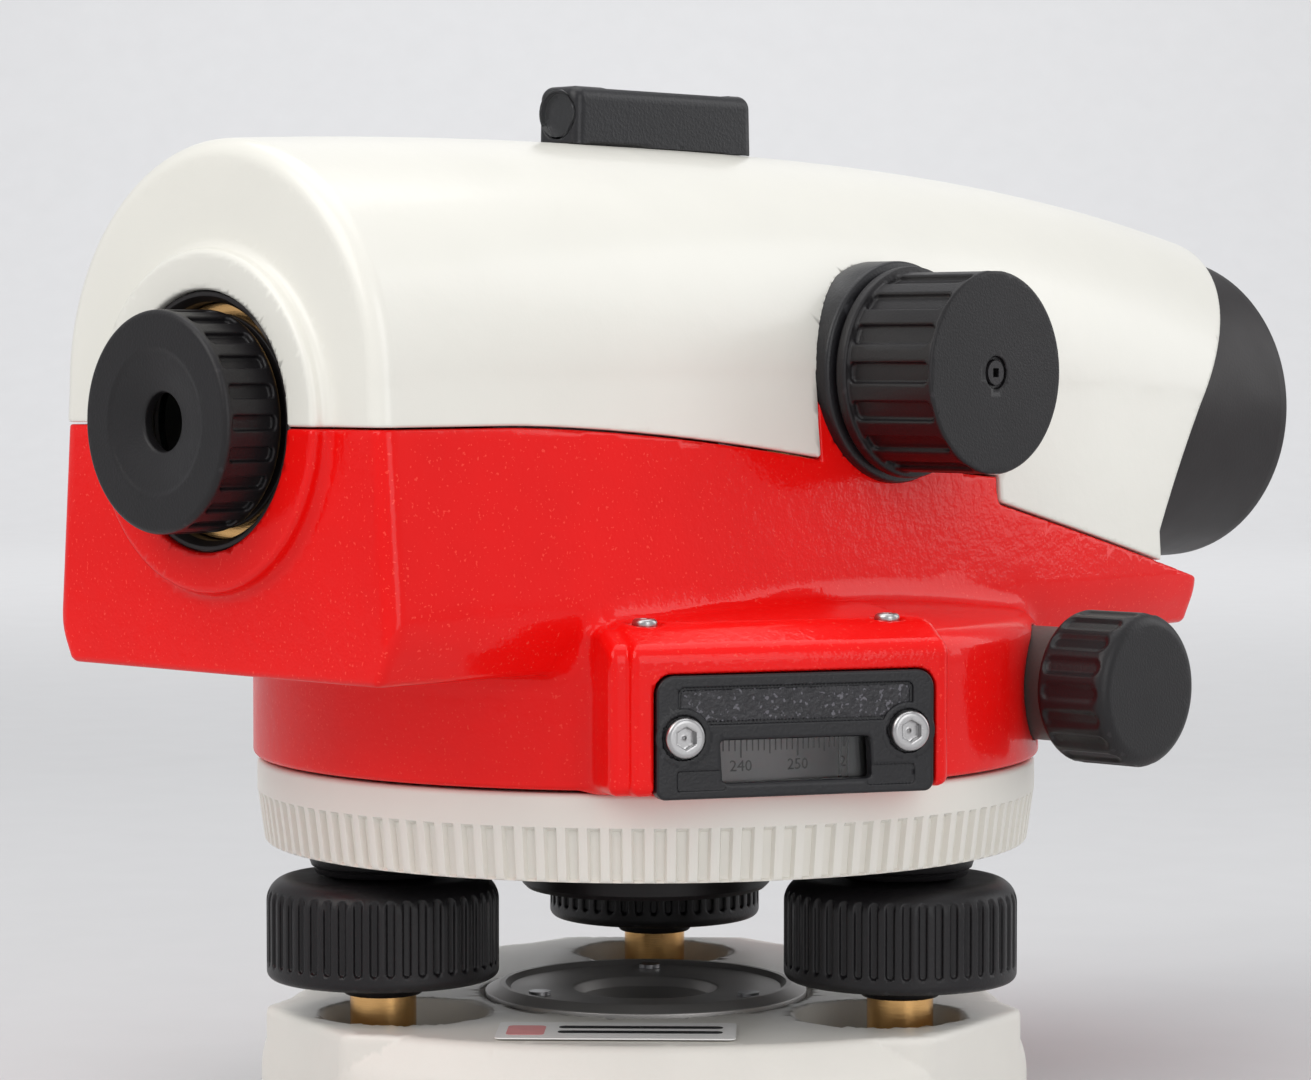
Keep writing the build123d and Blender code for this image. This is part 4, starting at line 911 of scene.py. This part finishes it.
def base_field(x, y, z):
    """Cast base: bulging bevelled sides, full-height towers at the feet, and the pockets in its top."""
    below = BASE_TOP - z
    side, bevel, facet, tower = -1e9, -1e9, -1e9, 1e9
    for angle in FOOT_ANGLES:
        u, v = turned(x, y, angle)
        facet = np.maximum(facet, u - BASE_FACET)
        wedge = 0.654 * u + 0.757 * np.abs(v) - 40.9
        tower = np.minimum(tower, meet(wedge, 33 - u))
        u, v = turned(x, y, angle + 60)
        bow = np.hypot(u + SIDE_OFFSET, v)
        side = np.maximum(side, bow - SIDE_RADIUS)
        bevel = np.maximum(bevel, (bow - TOP_SIDE_RADIUS - below * BEVEL_SLOPE) * 0.882)
    shape = meet(meet(side, facet, 1.0), -below, 1.3)
    shape = meet(shape, join(bevel, tower), 1.1)
    shape = meet(shape, -z, 0.8)
    pockets = 1e9
    for angle in FOOT_ANGLES:
        u, v = turned(x, y, angle)
        pockets = np.minimum(pockets, meet(np.hypot(u - SCREW_CIRCLE + 3.2, v) - 10.3, 9.4 - z))
        pockets = np.minimum(pockets, meet(np.hypot(u - SCREW_CIRCLE, v) - 7.5, 2.0 - z))
    shape = cut(shape, pockets, 0.5)
    reach = np.hypot(x, y)
    shape = cut(shape, meet(reach - 20.95, 12.0 - z), 0.4)
    shape = cut(shape, reach - 12.5, 0.4)
    return cut(shape, meet(slab(reach, 15.5, 24.0), z - 2.0), 0.4)


def make_base():
    base = field_object("base_casting", base_field, (-51, -51, -0.5), (51, 51, 15), 0.42, adapt=0.01)
    dress(base, "base_enamel", "base", ["base_plate"])
    top = mm_box("thread_insert")[1][2]
    bore, flange, seat = 6.95, 20.8, 12.0
    rows = [(bore, 0.0), (12.5, 0.0, 0.3), (12.5, seat), (flange, seat), (flange, top - 0.9, 0.25),
            (18.9, top, 0.5), (18.2, top, 0.2), (17.5, top - 0.6, 0.2), (14.9, top - 0.65),
            (9.3, top - 0.75, 0.5), (8.5, top - 2.0, 0.3), (bore, top - 3.4)]
    insert = lathe("threaded_insert", rows, steps=160)
    dress(insert, "steel", "base", ["thread_insert"], "dull_steel")


def make_label():
    """Rating label with a plain red patch and two plain bars, on the base in front of the insert."""
    ahead, side = directions(LABEL_ANGLE)
    pieces = (("base_label", "label_paper", 27.2, 38.6, -17.0, 12.0, 0.06),
              ("base_label_patch", "label_red", 29.8, 36.4, -15.8, -11.2, 0.09),
              ("base_label_line_1", "ink", 29.8, 31.6, -9.6, 10.4, 0.09),
              ("base_label_line_2", "ink", 33.2, 35.0, -9.6, 10.4, 0.09))
    for name, material, u0, u1, v0, v1, lift in pieces:
        outline = rounded([(u0, v0, 0.8), (u1, v0, 0.8), (u1, v1, 0.8), (u0, v1, 0.8)])
        points, count = [], len(outline)
        for height in (BASE_TOP - 0.1, BASE_TOP + lift):
            points += [(*(ahead * u + side * v), height) for u, v in outline]
        faces = [list(range(count))[::-1], list(range(count, 2 * count))]
        faces += [[k, (k + 1) % count, count + (k + 1) % count, count + k] for k in range(count)]
        dress(mesh_object(name, points, faces), "base_enamel", "base", material=material)


# ---------------------------------------------------------------- telescope ends and what stands on the body
def make_telescope():
    front = BARREL_HIGH[0]
    bore = 19.5
    rows = [(bore, 62), (24, 62), (24, 64), (22, 64), (22, front - 2.2, 0.5), (21.9, front, 1.1),
            (20.6, front, 0.4), (20.0, front - 1.2)]
    # baffle grooves inside the mouth
    rows += [(bore + 0.35 * (k % 2), front - 1.6 - 0.45 * k) for k in range(10)]
    rows += [(bore, front - 6.5)]
    barrel = lathe("objective_shell", rows, "x", (0, 0, SIGHT_Z), steps=128)
    dress(barrel, "black_metal", "alidade", ["objective_barrel"])
    rows = [(9.3, -56.4), (12, -56.4), (12, -66.1), (13.8, -66.1), (13.8, -70.2, 0.2), (10.4, -70.2),
            (10.4, -75.8, 0.2), (9.3, -75.8, 0.2)]
    guide = lathe("eyepiece_guide", rows, "x", (0, 0, SIGHT_Z))
    dress(guide, "brass", "alidade", ["eyepiece_tube"])
    edge = REAR_X - 1.4
    rows = [(13.85, -66.2), (15.15, -66.2), (15.15, edge, 0.3), (14.5, edge, 0.2), (13.85, edge + 1.0, 0.2)]
    trim = lathe("eyepiece_trim", rows, "x", (0, 0, SIGHT_Z))
    dress(trim, "black_metal", "alidade")
    rows = [(10.45, -70.1), (12.5, -70.1), (12.5, -70.75, 0.2), (10.45, -70.75)]
    dress(lathe("eyepiece_stop", rows, "x", (0, 0, SIGHT_Z)), "black_metal", "alidade")
    # painted shade: a black ring round the foot of the focusing knob, put where the knob's shadow falls on
    # the body
    rows = [(5.2, -26.0), (14.0, -26.0), (14.0, -30.6, 0.6), (12.0, -31.0, 0.2), (5.2, -31.0)]
    collar = lathe("focus_shade_collar", rows, "y", (FOCUS_X, 0, FOCUS_Z))
    dress(collar, "black_plastic", "alidade")


def sight_field(x, y, z):
    """Optical sight on the crown: long block with rounded top, soft ends and a round window."""
    top = 131.6
    lean = np.maximum(-14.2 - x, x - 14.6)
    shape = meet(slab(y, -3.6, 3.6), z - top, 1.7)
    end = lean - 1.6 - (top - z) * 0.03
    shape = meet(shape, end, 1.3)
    shape = meet(shape, 122.0 - z)
    shape = cut(shape, body_field(x, y, z) - 0.05)
    pocket = meet(np.hypot(y, z - 127.9) - 2.9, x + 14.4)
    shape = cut(shape, pocket, 0.3)
    groove = meet(slab(y, -2.4, 2.4), meet(top - 0.35 - z, slab(x, -10, 13)), 0.2)
    return cut(shape, groove, 0.25)


def level_field(x, y, z):
    """Holder of the circular level, on a bracket at the far side of the body."""
    u, v = x - LEVEL_X, y - LEVEL_Y
    cup = disc(u, v, z, 11.0, 66.0, 76.5, 0.9)
    foot = cuboid(x, y, z, (-2, 26, 66.0), (22, 47.6, 69.5), 0.8)
    shape = join(cup, foot, 1.0)
    shape = cut(shape, meet(np.hypot(u, v) - 8.6, 70.5 - z), 0.35)
    shape = cut(shape, body_field(x, y, z) - 0.02)
    return cut(shape, drum_field(x, y, z) - 0.02)


def make_fittings():
    sight = field_object("sight_block", sight_field, (-17, -4, 122), (17, 4, 132), 0.22, adapt=0.008)
    dress(sight, "black_plastic", "alidade", ["optical_sight"])
    holder = field_object("level_holder", level_field, (-3, 26, 65.5), (23, 54.5, 77), 0.3, adapt=0.008)
    dress(holder, "black_plastic", "alidade", ["level_housing"])
    # circular level: domed glass with a centring ring on it
    centre = (LEVEL_X, LEVEL_Y, 0)
    rows = [(0, 70.5), (8.55, 70.5), (8.55, 75.4, 0.4), (4.0, 75.9), (0, 76.0)]
    vial = lathe("spirit_vial", rows, centre=centre, steps=64)
    dress(vial, "level_glass", "alidade", ["circular_level"])
    rows = [(2.55, 76.02), (2.9, 76.02), (2.9, 76.08), (2.55, 76.08)]
    ring = lathe("centring_ring", rows, centre=centre, steps=64)
    dress(ring, "black_plastic", "alidade", material="ink")


def dress_cad():
    """The same finishes for every CAD node that stays visible."""
    for part in frame["record"]["subparts"]:
        node = bpy.data.objects.get(part["node"])
        if node and node.type == "MESH":
            node.data.materials.clear()
            plain = part["node"] in ("window_glass", "sight_lens")
            slot = "window_plastic" if plain else part["material_slot"]
            node.data.materials.append(MATERIALS[slot])


def main():
    make_paints()
    make_plastics()
    make_metals()
    make_glasses()
    make_camera()
    make_stage()
    make_lights()
    make_body()
    make_knobs()
    make_ring()
    make_scale()
    make_window()
    make_head()
    make_feet()
    make_base()
    make_label()
    make_telescope()
    make_fittings()
    dress_cad()


main()
